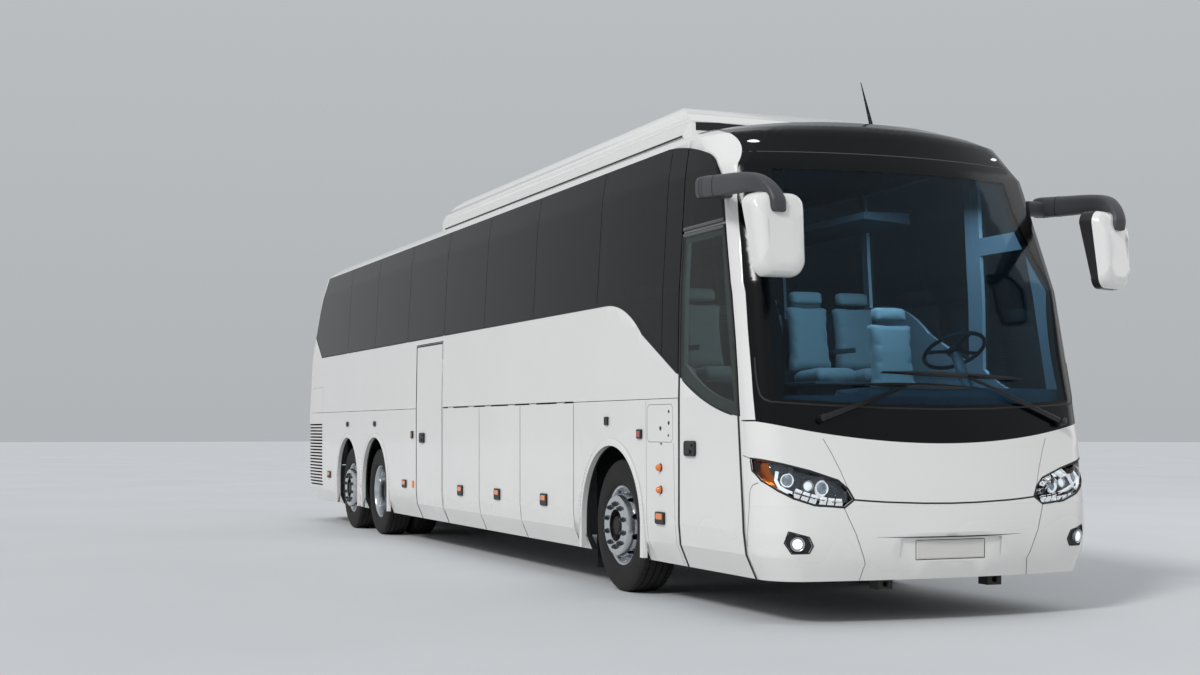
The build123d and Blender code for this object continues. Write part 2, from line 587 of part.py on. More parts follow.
# Floors and steps. Each stairwell has three treads between the door and the aisle side.
inside = envelope(WALL + SEAT_GAP)
inside_clear = envelope(WALL + 8)
PLATFORM_FRONT, PLATFORM_REAR, PLATFORM_THICK = 300, 2050, 40
FLOOR_REAR = 14250
WELL_OUTER, WELL_INNER, WELL_WALL = 1145, 500, 20
TREADS, TREAD_DEPTH = 3, 215
WELLS = (
    # start, end, height of the floor it climbs to
    (480, 1530, PLATFORM_TOP),
    (7500, 8480, FLOOR_TOP),
)
steps = []
for start, end, top in WELLS:
    rise = (top - STEP_TOP) / TREADS
    well = [block(-WELL_INNER - WELL_WALL, -WELL_INNER, start, end, STEP_TOP - PLATFORM_THICK, top - 45)]
    for n in range(TREADS):
        tread_top = STEP_TOP + rise * n
        outer = TREAD_DEPTH * n - WELL_OUTER
        well.append(block(outer, -WELL_INNER, start, end, tread_top - PLATFORM_THICK, tread_top))
        if n:
            well.append(block(outer, outer + WELL_WALL, start, end, tread_top - PLATFORM_THICK - rise, tread_top))
    steps.append(shaped(together(*well), inside_clear))


def stairwell(index, low, high, room=-SEAT_GAP):
    """Clear space of a stairwell, with some room past its inner wall."""
    start, end, _ = WELLS[index]
    return block(-REACH, room - WELL_INNER, start - 10, end + 10, low, high)


platform = shaped(block(-REACH, REACH, PLATFORM_FRONT, PLATFORM_REAR, PLATFORM_TOP - PLATFORM_THICK, PLATFORM_TOP),
                  inside, cuts=(stairwell(0, 900, 1200),))
riser = block(-1200, 1200, PLATFORM_REAR - WELL_WALL, PLATFORM_REAR, PLATFORM_TOP - PLATFORM_THICK, FLOOR_TOP)
keep(together(shaped(platform, extras=(riser,)), *steps), "platform_and_steps")
keep(shaped(block(-REACH, REACH, PLATFORM_REAR + SEAT_GAP, FLOOR_REAR, FLOOR_TOP - FLOOR_THICK, FLOOR_TOP),
            inside, cuts=(stairwell(1, 1200, 1400),)), "saloon_floor")

# Luggage hold under the saloon floor: its bottom and both bulkheads.
HOLD_FRONT, HOLD_REAR = 3520, 9560
HOLD_LOW, HOLD_TOP, BULKHEAD = 400, FLOOR_TOP - FLOOR_THICK, 25
hold_parts = (
    block(-REACH, REACH, HOLD_FRONT, HOLD_REAR, HOLD_LOW, HOLD_LOW + 40),
    block(-REACH, REACH, HOLD_FRONT, HOLD_FRONT + BULKHEAD, HOLD_LOW, HOLD_TOP),
    block(-REACH, REACH, HOLD_REAR - BULKHEAD, HOLD_REAR, HOLD_LOW, HOLD_TOP),
)
keep(shaped(together(*hold_parts), inside_clear, cuts=(stairwell(1, 300, HOLD_TOP, SEAT_GAP),)), "luggage_hold")

# Wheel houses: a roof, an inner wall and two ends round each wheel or pair of axles.
HOUSE_INNER, HOUSE_WALL, HOUSE_ENDS = 480, 15, 1155
HOUSES = (
    # start, end, height under the roof
    (2110, 3440, 1165),
    (9700, 12370, 1195),
)
houses = []
for side in (RIGHT, LEFT):
    for start, end, top in HOUSES:
        y0, y1 = start - HOUSE_WALL, end + HOUSE_WALL
        inner_face = HOUSE_INNER + HOUSE_WALL
        houses.append(together(
            side_block(side, HOUSE_INNER, HALF_WIDTH - WALL - SEAT_GAP, y0, y1, top, top + HOUSE_WALL),
            side_block(side, HOUSE_INNER, inner_face, y0, y1, 760, top),
            side_block(side, HOUSE_INNER, HOUSE_ENDS, y0, start, 320, top),
            side_block(side, HOUSE_INNER, HOUSE_ENDS, end, y1, 320, top)))
keep(together(*houses), "wheel_houses")

# Chassis: rails ahead of the hold and behind it, cross members, and the towing sockets that
# hang from the rails' ends.
RAIL_INNER, RAIL_OUTER = 375, 455
RAIL_LOW, RAIL_HIGH = 600, 740
NOSE_RAIL, TAIL_RAIL = 160, 14115
TOW_RADIUS, TOW_DEPTH = 20, 90
TOW_BLOCK, TOW_HALF, TOW_WALL = 110, 55, 36
TOW_SOCKETS = (
    # distance from the middle, station of the mouth, way out
    (430, 152, -1),
    (520, 14115, 1),
)
rails = [block(-RAIL_INNER, RAIL_INNER, y - 40, y + 40, RAIL_LOW + 20, RAIL_HIGH)
         for y in (250, 1700, 9800, 12440, 14065)]
sockets = []
for side in (RIGHT, LEFT):
    rails.append(side_block(side, RAIL_INNER, RAIL_OUTER, NOSE_RAIL, HOLD_FRONT - SEAT_GAP, RAIL_LOW, RAIL_HIGH))
    rails.append(side_block(side, RAIL_INNER, RAIL_OUTER, HOLD_REAR + SEAT_GAP, TAIL_RAIL, RAIL_LOW, RAIL_HIGH))
    for x, mouth, way_out in TOW_SOCKETS:
        y0, y1 = sorted((mouth, mouth - way_out * TOW_BLOCK))
        rails.append(side_block(side, RAIL_INNER, x + TOW_HALF, y0, y1, TOW_HEIGHT + TOW_WALL + SEAT_GAP, RAIL_HIGH))
        socket = side_block(side, x - TOW_HALF, x + TOW_HALF, y0, y1, TOW_HEIGHT - TOW_WALL, TOW_HEIGHT + TOW_WALL)
        with BuildPart(mode=Mode.PRIVATE) as bored:
            add(socket)
            with BuildSketch(cross_plane(mouth)):
                with Locations((side * x, TOW_HEIGHT)):
                    Circle(TOW_RADIUS)
            extrude(amount=way_out * TOW_DEPTH, mode=Mode.SUBTRACT)
        sockets.append(bored.part)
keep(together(*rails, *sockets), "chassis")
keep(block(SEAT_GAP - RAIL_INNER, RAIL_INNER - SEAT_GAP, 12500, 14010, 430, 1200), "engine")

# Axles, steering knuckles and wheels.
BEAM, TAG_BEAM, BOSS, HUB_FLANGE = 60, 45, 45, 100
KINGPIN_RADIUS = 16
KNUCKLE_PLATE = 30
WEB_END = HUB_FACE - 7


def axle_seats(station):
    """Blocks between an axle and both rails."""
    return [side_block(side, RAIL_INNER, RAIL_OUTER, station - 60, station + 60, TYRE_RADIUS, RAIL_LOW - SEAT_GAP)
            for side in (RIGHT, LEFT)]


beam_low, beam_high = TYRE_RADIUS - BEAM, TYRE_RADIUS + BEAM
beam = [block(-KINGPIN_X, KINGPIN_X, FRONT_AXLE - 45, FRONT_AXLE + 45, beam_low, beam_high), *axle_seats(FRONT_AXLE)]
beam += [post(side * KINGPIN_X, FRONT_AXLE, beam_low, beam_high, BOSS) for side in (RIGHT, LEFT)]
holes = [post(side * KINGPIN_X, FRONT_AXLE, beam_low, beam_high, KINGPIN_RADIUS + SEAT_GAP)
         for side in (RIGHT, LEFT)]
keep(shaped(together(*beam), cuts=holes), "front_axle")

TWIN_FACE = HUB_FACE - TWIN_SPACING
drive = [disc(LEFT, 30 - TWIN_FACE, TWIN_FACE - 30, 62, DRIVE_AXLE),
         block(-170, 170, DRIVE_AXLE - 190, DRIVE_AXLE + 190, 350, 700), *axle_seats(DRIVE_AXLE)]
tag = [block(20 - HUB_FACE, HUB_FACE - 20, TAG_AXLE - TAG_BEAM, TAG_AXLE + TAG_BEAM, TYRE_RADIUS - TAG_BEAM,
             TYRE_RADIUS + TAG_BEAM), *axle_seats(TAG_AXLE)]
for side in (RIGHT, LEFT):
    drive.append(disc(side, TWIN_FACE - 30, TWIN_FACE - SEAT_GAP, HUB_FLANGE, DRIVE_AXLE))
    tag.append(disc(side, HUB_FACE - 20, HUB_FACE - SEAT_GAP, HUB_FLANGE, TAG_AXLE))
keep(together(together(*drive), together(*tag)), "rear_axles")

for side, name in SIDE_NAMES.items():
    low, high = beam_low - KNUCKLE_PLATE, beam_high + KNUCKLE_PLATE
    parts = [side_block(side, KINGPIN_X + BOSS + 7, WEB_END, FRONT_AXLE - 45, FRONT_AXLE + 45, low, high),
             disc(side, WEB_END - 8, HUB_FACE - SEAT_GAP, HUB_FLANGE, FRONT_AXLE),
             post(side * KINGPIN_X, FRONT_AXLE, low, high, KINGPIN_RADIUS)]
    for z0, z1 in ((low, beam_low - SEAT_GAP), (beam_high + SEAT_GAP, high)):
        parts.append(post(side * KINGPIN_X, FRONT_AXLE, z0, z1, BOSS))
        parts.append(side_block(side, KINGPIN_X, WEB_END, FRONT_AXLE - 45, FRONT_AXLE + 45, z0, z1))
    keep(together(*parts), f"knuckle_{name}")


def turned(profile, side, station, x_centre=TRACK_HALF):
    """Solid of revolution about a wheel's axis; the profile is in (outboard, radius)."""
    plane = Plane(origin=(side * x_centre, FRONT_Y + station, TYRE_RADIUS), x_dir=(side, 0, 0),
                  z_dir=(0, -side, 0))
    with BuildPart(mode=Mode.PRIVATE) as solid:
        with BuildSketch(plane):
            with BuildLine():
                Polyline(*profile, close=True)
            make_face()
        revolve(axis=Axis(plane.origin, (1, 0, 0)))
    return solid.part


half, tread = TYRE_WIDTH / 2, TREAD_WIDTH / 2
TYRE = ((-half + 12, RIM_RADIUS + SEAT_GAP), (half - 12, RIM_RADIUS + SEAT_GAP), (half - 2, 400),
        (tread, TYRE_RADIUS), (-tread, TYRE_RADIUS), (-half + 2, 400))
PLAIN_RIM = ((-RIM_BACK, 0), (-RIM_BACK, RIM_RADIUS), (half - 4, RIM_RADIUS), (70, 232), (70, 105), (118, 88),
             (118, 0))
TWIN_RIM = ((-RIM_BACK - TWIN_SPACING, 0), (-RIM_BACK - TWIN_SPACING, RIM_RADIUS), (half - 4, RIM_RADIUS),
            (-60, 240), (-60, 140), (70, 120), (70, 0))
for side, name in SIDE_NAMES.items():
    for axle, station in (("front", FRONT_AXLE), ("drive", DRIVE_AXLE), ("tag", TAG_AXLE)):
        tyres = [turned(TYRE, side, station)]
        if axle == "drive":
            tyres.append(turned(TYRE, side, station, TRACK_HALF - TWIN_SPACING))
        keep(together(*tyres), f"tyre_{axle}_{name}")
        keep(turned(TWIN_RIM if axle == "drive" else PLAIN_RIM, side, station), f"rim_{axle}_{name}")

# Rubber flaps behind the front and tag wheels.
flaps = [side_block(side, 895, HOUSE_ENDS - 2, end + HOUSE_WALL + SEAT_GAP, end + HOUSE_WALL + SEAT_GAP + 8, 130, 640)
         for side in (RIGHT, LEFT) for _, end, _ in HOUSES]
keep(together(*flaps), "mudflaps")

# Mirrors: stout arms that leave the arches sideways, run forwards and droop into the heads.
ARM_SECTIONS = (
    # x, station, height, tilt down in degrees, width, depth
    (1385, 965, 2905, 0, 60, 110),
    (1388, 925, 2908, 0, 95, 155),
    (1388, 620, 2925, 0, 95, 140),
    (1385, 330, 2925, 8, 92, 125),
    (1368, 160, 2893, 35, 90, 118),
    (1340, 60, 2820, 62, 86, 112),
    (1322, 5, 2735, 85, 84, 104),
    (1318, -8, 2665, 90, 82, 96),
)
HEAD_X, HEAD_Z = 1300, 2505
HEAD_SECTIONS = (
    # station, width, height, corner radius
    (-MIRROR_AHEAD, 310, 420, 70),
    (20, 380, 490, 70),
    (80, 360, 470, 60),
)
mirrors = []
for side in (RIGHT, LEFT):
    with BuildPart(mode=Mode.PRIVATE) as arm:
        for x, y, z, tilt, width, depth in ARM_SECTIONS:
            turn = math.radians(tilt)
            with BuildSketch(Plane(origin=(side * x, FRONT_Y + y, z), x_dir=(1, 0, 0),
                                   z_dir=(0, -math.cos(turn), -math.sin(turn)))):
                RectangleRounded(width, depth, 25)
        loft(ruled=True)
    with BuildPart(mode=Mode.PRIVATE) as head:
        for y, width, height, corner in HEAD_SECTIONS:
            with BuildSketch(cross_plane(y)):
                with Locations((side * HEAD_X, HEAD_Z)):
                    RectangleRounded(width, height, corner)
        loft(ruled=True)
    foot = shaped(side_block(side, 1150, 1388, 820, 920, 2850, 2960), cuts=(outer_form,))
    mirrors.append(together(arm.part, head.part, foot))
keep(together(*mirrors), "mirrors")


def screen_station(x, z):
    """Station of the nose's outer surface at a place of the front view."""
    below = max(row for row in ENVELOPE if row[0] <= z)
    above = min(row for row in ENVELOPE if row[0] > z)
    share = (z - below[0]) / (above[0] - below[0])
    nose, nose_x, nose_y = (below[i] + share * (above[i] - below[i]) for i in (2, 3, 4))
    radius = (nose_x**2 + (nose_y - nose)**2) / (2 * (nose_y - nose))
    return nose + radius - math.sqrt(radius**2 - x**2)


# Wipers: pivots in the lower band, arms to the middle, blades across the glass.
WIPERS = (
    # pivot x, z; arm end x, z; blade ends x, z
    ((-873, 1345), (-238, 1568), (-618, 1570), (302, 1552)),
    ((1029, 1325), (225, 1622), (-426, 1652), (694, 1620)),
)
WIPER_OFF = 45


def ahead_of_screen(point, off):
    return Vector(point[0], FRONT_Y + screen_station(*point) - off, point[1])


def wiper_bar(path, deep, wide):
    with BuildPart(mode=Mode.PRIVATE) as bar:
        with BuildLine():
            Polyline(*path)
        with BuildSketch(Plane(origin=path[0], x_dir=(0, 1, 0), z_dir=path[1] - path[0])):
            Rectangle(deep, wide)
        sweep(transition=Transition.RIGHT)
    return bar.part


wipers = []
for pivot, arm_end, blade_from, blade_to in WIPERS:
    middle = tuple((a + b) / 2 for a, b in zip(blade_from, blade_to))
    arm = wiper_bar((ahead_of_screen(pivot, WIPER_OFF - 9), ahead_of_screen(arm_end, WIPER_OFF - 6)), 14, 24)
    blade = wiper_bar([ahead_of_screen(point, WIPER_OFF) for point in (blade_from, middle, blade_to)], 16, 30)
    with BuildPart(mode=Mode.PRIVATE) as boss:
        with BuildSketch(Plane(origin=ahead_of_screen(pivot, WIPER_OFF), x_dir=(1, 0, 0), z_dir=(0, 1, 0))):
            Circle(22)
        extrude(amount=80)
    wipers.append(together(arm, blade, shaped(boss.part, cuts=(outer_form,))))
keep(together(*wipers), "wipers")

# Side lamps and reflectors.
SIDE_LAMPS = (
    # station, height, length, height of the body
    (1841, 996, 70, 70), (1835, 833, 70, 70), (1835, 625, 150, 46), (2883, 1343, 60, 60), (2221, 1242, 60, 60),
    (8646, 1217, 60, 60), (8968, 659, 150, 46), (12830, 665, 150, 46),
)
LAMP_PROUD = 12
lamps = [side_block(side, HALF_WIDTH, HALF_WIDTH + LAMP_PROUD, y - long / 2, y + long / 2, z - tall / 2,
                    z + tall / 2) for side in (RIGHT, LEFT) for y, z, long, tall in SIDE_LAMPS]
keep(together(*lamps, *tail_lamps), "side_and_tail_lamps")

# Inside: dashboard with the steering column, seats and overhead racks.
DASH = ((250, PLATFORM_TOP + SEAT_GAP), (820, PLATFORM_TOP + SEAT_GAP), (840, 1380), (700, 1545), (300, 1560),
        (250, 1500))
DASH_END = -480
dash = shaped(side_region(DASH, LEFT, DASH_END, 1185), envelope(WALL + 4))
dash_right = shaped(block(-1175, DASH_END, 250, 468, PLATFORM_TOP + SEAT_GAP, 1500), envelope(WALL + 12))
WHEEL_X, WHEEL_STATION, WHEEL_Z = 650, 960, 1850
COLUMN_TILT = math.radians(32)
COLUMN_RADIUS, COLUMN_LENGTH = 38, 520
column_dir = Vector(0, math.sin(COLUMN_TILT), math.cos(COLUMN_TILT))
wheel_centre = Vector(WHEEL_X, FRONT_Y + WHEEL_STATION, WHEEL_Z)
with BuildPart(mode=Mode.PRIVATE) as column:
    with BuildSketch(Plane(origin=wheel_centre - column_dir * (25 + SEAT_GAP), x_dir=(1, 0, 0), z_dir=-column_dir)):
        Circle(COLUMN_RADIUS)
    extrude(amount=COLUMN_LENGTH)
keep(together(dash, dash_right, column.part), "dashboard")

RING, RING_TUBE, SPOKE = 225, 15, 36
HUB_RADIUS, HUB_THICK, SPOKE_THICK = 52, 30, 12
ring_plane = Plane(origin=wheel_centre, x_dir=(1, 0, 0), z_dir=column_dir)
with BuildPart() as steering_wheel:
    with BuildSketch(Plane(origin=wheel_centre, x_dir=(1, 0, 0), z_dir=ring_plane.y_dir)):
        with Locations((RING, 0)):
            RegularPolygon(RING_TUBE, 6)
    revolve(axis=Axis(wheel_centre, column_dir))
    with BuildSketch(ring_plane.offset(-25)):
        Circle(HUB_RADIUS)
    extrude(amount=HUB_THICK)
    with BuildSketch(ring_plane.offset(-8)):
        Rectangle(2 * RING, SPOKE)
        with Locations((0, -RING / 2)):
            Rectangle(SPOKE, RING)
    extrude(amount=SPOKE_THICK)
keep(steering_wheel.part, "steering_wheel")

# Seats in pairs on a plinth; the side view is of the cushion and the back.
SEAT_SIDE = ((0, 350), (0, 465), (430, 450), (545, 1130), (640, 1110), (540, 330))
SEAT_PAIR = (270, 1150)
DRIVER_SEAT = (420, 880)
ROWS = 14
ROW_PITCH = 790
FIRST_ROW = 2330
MID_DOOR_ROWS = (6700, 8490)


def seat(x0, x1, station, floor_top):
    body = side_region(moved(SEAT_SIDE, station, floor_top), LEFT, x0, x1)
    plinth = block(x0 + 120, x1 - 120, station + 130, station + 470, floor_top + SEAT_GAP, floor_top + 345)
    return shaped(body, extras=(plinth,))


seats = [seat(*DRIVER_SEAT, 1300, PLATFORM_TOP)]
for row in range(ROWS):
    station = FIRST_ROW + ROW_PITCH * row
    seats.append(seat(*SEAT_PAIR, station, FLOOR_TOP))
    if not MID_DOOR_ROWS[0] < station < MID_DOOR_ROWS[1]:
        seats.append(seat(-SEAT_PAIR[1], -SEAT_PAIR[0], station, FLOOR_TOP))
keep(together(*seats), "seats")

RACK = ((760, 2990), (REACH, 2940), (REACH, 3060), (760, 3045))
racks = [shaped(cross_region(mirrored(RACK, side), 2400, 13000), inside) for side in (RIGHT, LEFT)]
keep(together(*racks), "luggage_racks")
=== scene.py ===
"""Three-axle touring coach: the looks of each piece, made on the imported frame."""

import json
import math

import bmesh
import bpy
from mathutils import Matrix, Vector
from mathutils.bvhtree import BVHTree

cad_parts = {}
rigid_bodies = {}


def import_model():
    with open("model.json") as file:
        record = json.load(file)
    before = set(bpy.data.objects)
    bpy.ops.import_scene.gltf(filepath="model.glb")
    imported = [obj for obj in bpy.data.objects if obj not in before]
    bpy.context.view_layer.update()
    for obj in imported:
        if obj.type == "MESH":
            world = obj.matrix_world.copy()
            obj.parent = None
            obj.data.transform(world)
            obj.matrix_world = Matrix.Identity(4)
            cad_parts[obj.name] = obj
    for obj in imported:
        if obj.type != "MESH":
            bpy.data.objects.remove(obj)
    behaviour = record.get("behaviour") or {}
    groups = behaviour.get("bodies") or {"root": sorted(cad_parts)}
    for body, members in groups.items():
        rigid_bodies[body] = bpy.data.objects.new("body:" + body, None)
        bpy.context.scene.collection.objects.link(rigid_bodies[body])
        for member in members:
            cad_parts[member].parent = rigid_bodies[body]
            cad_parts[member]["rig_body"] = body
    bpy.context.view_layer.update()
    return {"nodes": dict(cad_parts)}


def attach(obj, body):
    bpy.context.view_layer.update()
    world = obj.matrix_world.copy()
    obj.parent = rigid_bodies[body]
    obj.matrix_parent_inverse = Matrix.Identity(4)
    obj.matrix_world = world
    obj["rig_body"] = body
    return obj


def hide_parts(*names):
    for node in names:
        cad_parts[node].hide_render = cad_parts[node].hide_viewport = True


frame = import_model()
nodes = frame["nodes"]
static = nodes["mask"]["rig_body"]
NOSE = -7.145  # the nose's own Y; a station runs rearwards from it
FLANK = 1.3  # the side walls' distance from the middle

# Camera
# It stands ahead of the coach's right front corner, at a car driver's eye height,
# and looks along the road with its horizon kept level by a vertical shift.
camera_data = bpy.data.cameras.new("road_camera")
camera_data.lens = 49.51
camera_data.sensor_width = 36
camera_data.shift_y = 0.076
camera_data.clip_end = 400
road_camera = bpy.data.objects.new("road_camera", camera_data)
road_camera.location = (-6.245, -16.394, 1.282)
road_camera.rotation_euler = (math.radians(90), 0, math.radians(-21.93))
bpy.context.scene.collection.objects.link(road_camera)
bpy.context.scene.camera = road_camera
bpy.context.scene.view_settings.view_transform = "Standard"


# Finishes
# Each one is a node tree over object coordinates, built with these helpers.
def paint(code):
    """An sRGB hex code as Blender's linear colour."""
    parts = [int(code[i:i + 2], 16) / 255 for i in (1, 3, 5)]
    return [p / 12.92 if p <= 0.04045 else ((p + 0.055) / 1.055) ** 2.4 for p in parts] + [1.0]


def node(tree, kind, settings=None, **inputs):
    """Adds a node; a number or a hex code sets an input and a socket is linked to it."""
    made = tree.nodes.new(kind)
    for key, value in (settings or {}).items():
        setattr(made, key, value)
    for key, value in inputs.items():
        place = int(key[1:]) if key[0] == "i" and key[1:].isdigit() else key.replace("_", " ")
        if isinstance(value, bpy.types.NodeSocket):
            tree.links.new(value, made.inputs[place])
        else:
            made.inputs[place].default_value = paint(value) if isinstance(value, str) else value
    return made


class Finish:
    """A material in the making: each step adds a node and gives its result's socket."""

    def __init__(self, name):
        self.material = bpy.data.materials.new(name)
        self.material.use_nodes = True
        self.tree = self.material.node_tree
        self.tree.nodes.clear()
        self.place = node(self.tree, "ShaderNodeTexCoord").outputs["Object"]

    def axes(self, vector=None):
        """The X, Y and Z of the place or of another vector."""
        return node(self.tree, "ShaderNodeSeparateXYZ", i0=vector or self.place).outputs

    def noise(self, scale, detail, **more):
        return node(self.tree, "ShaderNodeTexNoise", Vector=self.place, Scale=scale, Detail=detail,
                    **more).outputs["Fac"]

    def reckon(self, operation, *values):
        inputs = {f"i{k}": value for k, value in enumerate(values)}
        return node(self.tree, "ShaderNodeMath", {"operation": operation}, **inputs).outputs[0]

    def between(self, value, low, high, **more):
        """A value from 0 to 1 spread over a range."""
        return node(self.tree, "ShaderNodeMapRange", Value=value, To_Min=low, To_Max=high, **more).outputs[0]

    def blend(self, share, first, second):
        return node(self.tree, "ShaderNodeMix", {"data_type": "RGBA"}, i0=share, i6=first,
                    i7=second).outputs[2]

    def relief(self, height, strength, distance=0.002):
        return node(self.tree, "ShaderNodeBump", Height=height, Strength=strength,
                    Distance=distance).outputs[0]

    def surface(self, colour, roughness, **more):
        return node(self.tree, "ShaderNodeBsdfPrincipled", Base_Color=colour, Roughness=roughness,
                    **more).outputs[0]

    def glass(self, code, scale, detail, rough, ior, **more):
        """Tinted glass with a faint haze."""
        haze = self.between(self.noise(scale, detail), *rough)
        return self.surface(code, haze, Transmission_Weight=1.0, IOR=ior, **more)

    def either(self, share, first, second):
        return node(self.tree, "ShaderNodeMixShader", i0=share, i1=first, i2=second).outputs[0]

    def done(self, shader):
        node(self.tree, "ShaderNodeOutputMaterial", Surface=shader)
        return self.material


def mottled(name, dark, light, scale, rough, grain=80.0, relief=0.03, **more):
    """A finish whose tone drifts between two colours, with a fine relief."""
    made = Finish(name)
    drift = made.noise(scale, 4.0)
    bump = made.relief(made.noise(grain, 2.0), relief)
    tone = made.blend(drift, dark, light)
    return made.done(made.surface(tone, made.between(drift, *rough), Normal=bump, **more))


def plain_glass(name, *values, **more):
    """Glass of one tint."""
    made = Finish(name)
    return made.done(made.glass(*values, **more))


# Floor and light
# A pale, even floor under a pale sky, one broad soft sun from the right, a wide weak lamp that
# opens the shade on the driver's side, and one in the saloon that shows only by what it lights.
made = Finish("pale_screed")
concrete = made.done(made.surface(made.blend(made.noise(0.35, 4.0), "#C9CBCD", "#D6D7D8"), 0.75))
bpy.ops.mesh.primitive_circle_add(vertices=96, radius=150, fill_type="NGON")
screed = bpy.context.object
screed.name = "screed_floor"
screed.data.materials.append(concrete)

world = bpy.data.worlds.new("pale_sky")
bpy.context.scene.world = world
world.use_nodes = True
world.node_tree.nodes.clear()
height = node(world.node_tree, "ShaderNodeSeparateXYZ",
              i0=node(world.node_tree, "ShaderNodeTexCoord").outputs["Generated"]).outputs["Z"]
sky = node(world.node_tree, "ShaderNodeValToRGB", Fac=height)
sky.color_ramp.elements[0].color = paint("#C6C9CC")
sky.color_ramp.elements[1].position = 0.6
sky.color_ramp.elements[1].color = paint("#DEE2E6")
node(world.node_tree, "ShaderNodeOutputWorld",
     Surface=node(world.node_tree, "ShaderNodeBackground", Color=sky.outputs[0], Strength=0.78).outputs[0])


def lamp(name, kind, place, aim, strength, **settings):
    """A lamp that shines from one point towards another."""
    data = bpy.data.lights.new(name, kind)
    data.energy = strength
    for key, value in settings.items():
        setattr(data, key, value)
    thing = bpy.data.objects.new(name, data)
    thing.location = place
    thing.rotation_euler = (Vector(aim) - Vector(place)).to_track_quat("-Z", "Y").to_euler()
    bpy.context.scene.collection.objects.link(thing)
    return thing


lamp("soft_sun", "SUN", (-20, -11, 19), (0, 0, 0), 1.6, angle=math.radians(12))
lamp("shade_fill", "AREA", (18, -6, 9), (0, 0, 1.5), 380, size=12)
saloon_lamp = lamp("saloon_lamp", "AREA", (0.2, NOSE + 1.3, 3.05), (0, NOSE + 1.6, 1.0), 40, size=1.4,
                   color=(0.75, 0.88, 1.0))
saloon_lamp.visible_camera = saloon_lamp.visible_glossy = saloon_lamp.visible_transmission = False

# Body panels
# Pressed sheet and moulded panels, each taken from its solid as one merged skin,
# with soft corners where the sheet bends, crisp ones where it is cut, and grey lining inside.
CREASE = 28  # degrees; an edge that bends more is drawn sharp
# The walls face out from a middle line that runs this far fore and aft, and the roof faces up
# above this height; a face that looks the other way by this much is lined.
LINE_HALF, ROOF_FROM, LINED = 5.6, 3.2, -0.3


def applied(thing):
    """The mesh of an object with its modifiers applied; they are cleared."""
    mesh = bpy.data.meshes.new_from_object(thing.evaluated_get(bpy.context.evaluated_depsgraph_get()))
    thing.modifiers.clear()
    return mesh


def placed(name, mesh):
    """A mesh as an object of the scene."""
    thing = bpy.data.objects.new(name, mesh)
    bpy.context.scene.collection.objects.link(thing)
    return thing


def dress(mesh, name, finish, body, stands_for=(), crease=CREASE):
    """Shades a mesh, gives it its finish and puts it on its body."""
    thing = placed(name, mesh)
    if crease:
        mesh.shade_smooth()
        mesh.set_sharp_from_angle(angle=math.radians(crease))
        even = thing.modifiers.new("even", "WEIGHTED_NORMAL")
        even.keep_sharp = True
        even.weight = 60
        thing.data = applied(thing)
        thing.data.name = name
    thing.data.materials.clear()
    thing.data.materials.append(finish)
    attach(thing, body)
    if stands_for:
        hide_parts(*stands_for)
    return thing


def merged(node_name, wanted=lambda face: True):
    """The chosen faces of a CAD node as a merged mesh."""
    bm = bmesh.new()
    bm.from_mesh(nodes[node_name].data)
    bmesh.ops.remove_doubles(bm, verts=bm.verts, dist=0.00002)
    bmesh.ops.dissolve_degenerate(bm, edges=bm.edges, dist=0.000001)
    bm.normal_update()
    bmesh.ops.delete(bm, geom=[face for face in bm.faces if not wanted(face)], context="FACES")
    mesh = bpy.data.meshes.new(node_name)
    bm.to_mesh(mesh)
    bm.free()
    return mesh


def skin(node_name, name, finish, lining=None):
    """A merged copy of a CAD node, which stands for it; faces that look inwards may be lined."""
    thing = dress(merged(node_name), name, finish, nodes[node_name]["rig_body"], (node_name,))
    if lining:
        thing.data.materials.append(lining)
        for face in thing.data.polygons:
            x, y, z = face.center
            out = Vector((x, y - max(-LINE_HALF, min(y, LINE_HALF)), max(z - ROOF_FROM, 0) * 3)).normalized()
            face.material_index = int(face.normal.dot(out) < LINED)
    return thing


# White two-pack enamel, sprayed and flatted: bright, glossy, with a faint orange peel and a film
# of road dust that thickens towards the skirt. The returns inside the arches and the edges of the doors and
# hatches are painted shade in near-black: faces that don't look sideways, within the flanks' surface, the two
# ends and the waist.
made = Finish("white_two_pack_enamel")
x, y, z = made.axes()
dust_depth = made.between(z, 0.0, 1.0, From_Min=0.95, From_Max=0.28)
film = made.reckon("MULTIPLY", made.reckon("MULTIPLY", dust_depth, made.noise(1.6, 1.0, Roughness=0.5)), 0.16)
panel_tone = made.blend(made.noise(0.9, 3.0), "#E4E3E0", "#ECEBE8")
enamel = made.surface(made.blend(film, panel_tone, "#8F8778"), made.between(film, 0.22, 0.6, From_Max=0.3),
                      Normal=made.relief(made.noise(90.0, 1.0), 0.02), Coat_Weight=0.7, Coat_Roughness=0.06)
facing = made.axes(node(made.tree, "ShaderNodeNewGeometry").outputs["Normal"])["X"]
# Painted shade: this mask gives near-black to the arch returns and to the door and hatch edges.
painted_shade = 1.0
for value, limit in ((facing, 0.6), (x, 1.268), (made.reckon("SUBTRACT", y, 0.5), 6.1), (z, 1.4)):
    painted_shade = made.reckon("MULTIPLY", made.reckon("LESS_THAN", made.reckon("ABSOLUTE", value), limit), painted_shade)
white_enamel = made.done(made.either(painted_shade, enamel, made.surface("#17181A", 0.75)))

lining_grey = mottled("grey_moulded_lining", "#6F7376", "#7C8083", 3.0, (0.55, 0.7), 220.0, 0.15)
for panel in ("side_panel_front_right", "side_panel_front_left", "side_panel_rear_right",
              "side_panel_rear_left", "side_frame_right", "side_frame_left", "mask", "bumper",
              "windscreen_pillars", "roof", "roof_pod", "rear_wall", "rear_bumper", "front_door",
              "mid_door", "hatch_right_1", "hatch_right_2", "hatch_right_3", "hatch_left_1",
              "hatch_left_2", "hatch_left_3", "engine_lid"):
    skin(panel, panel + "_skin", white_enamel, lining_grey)
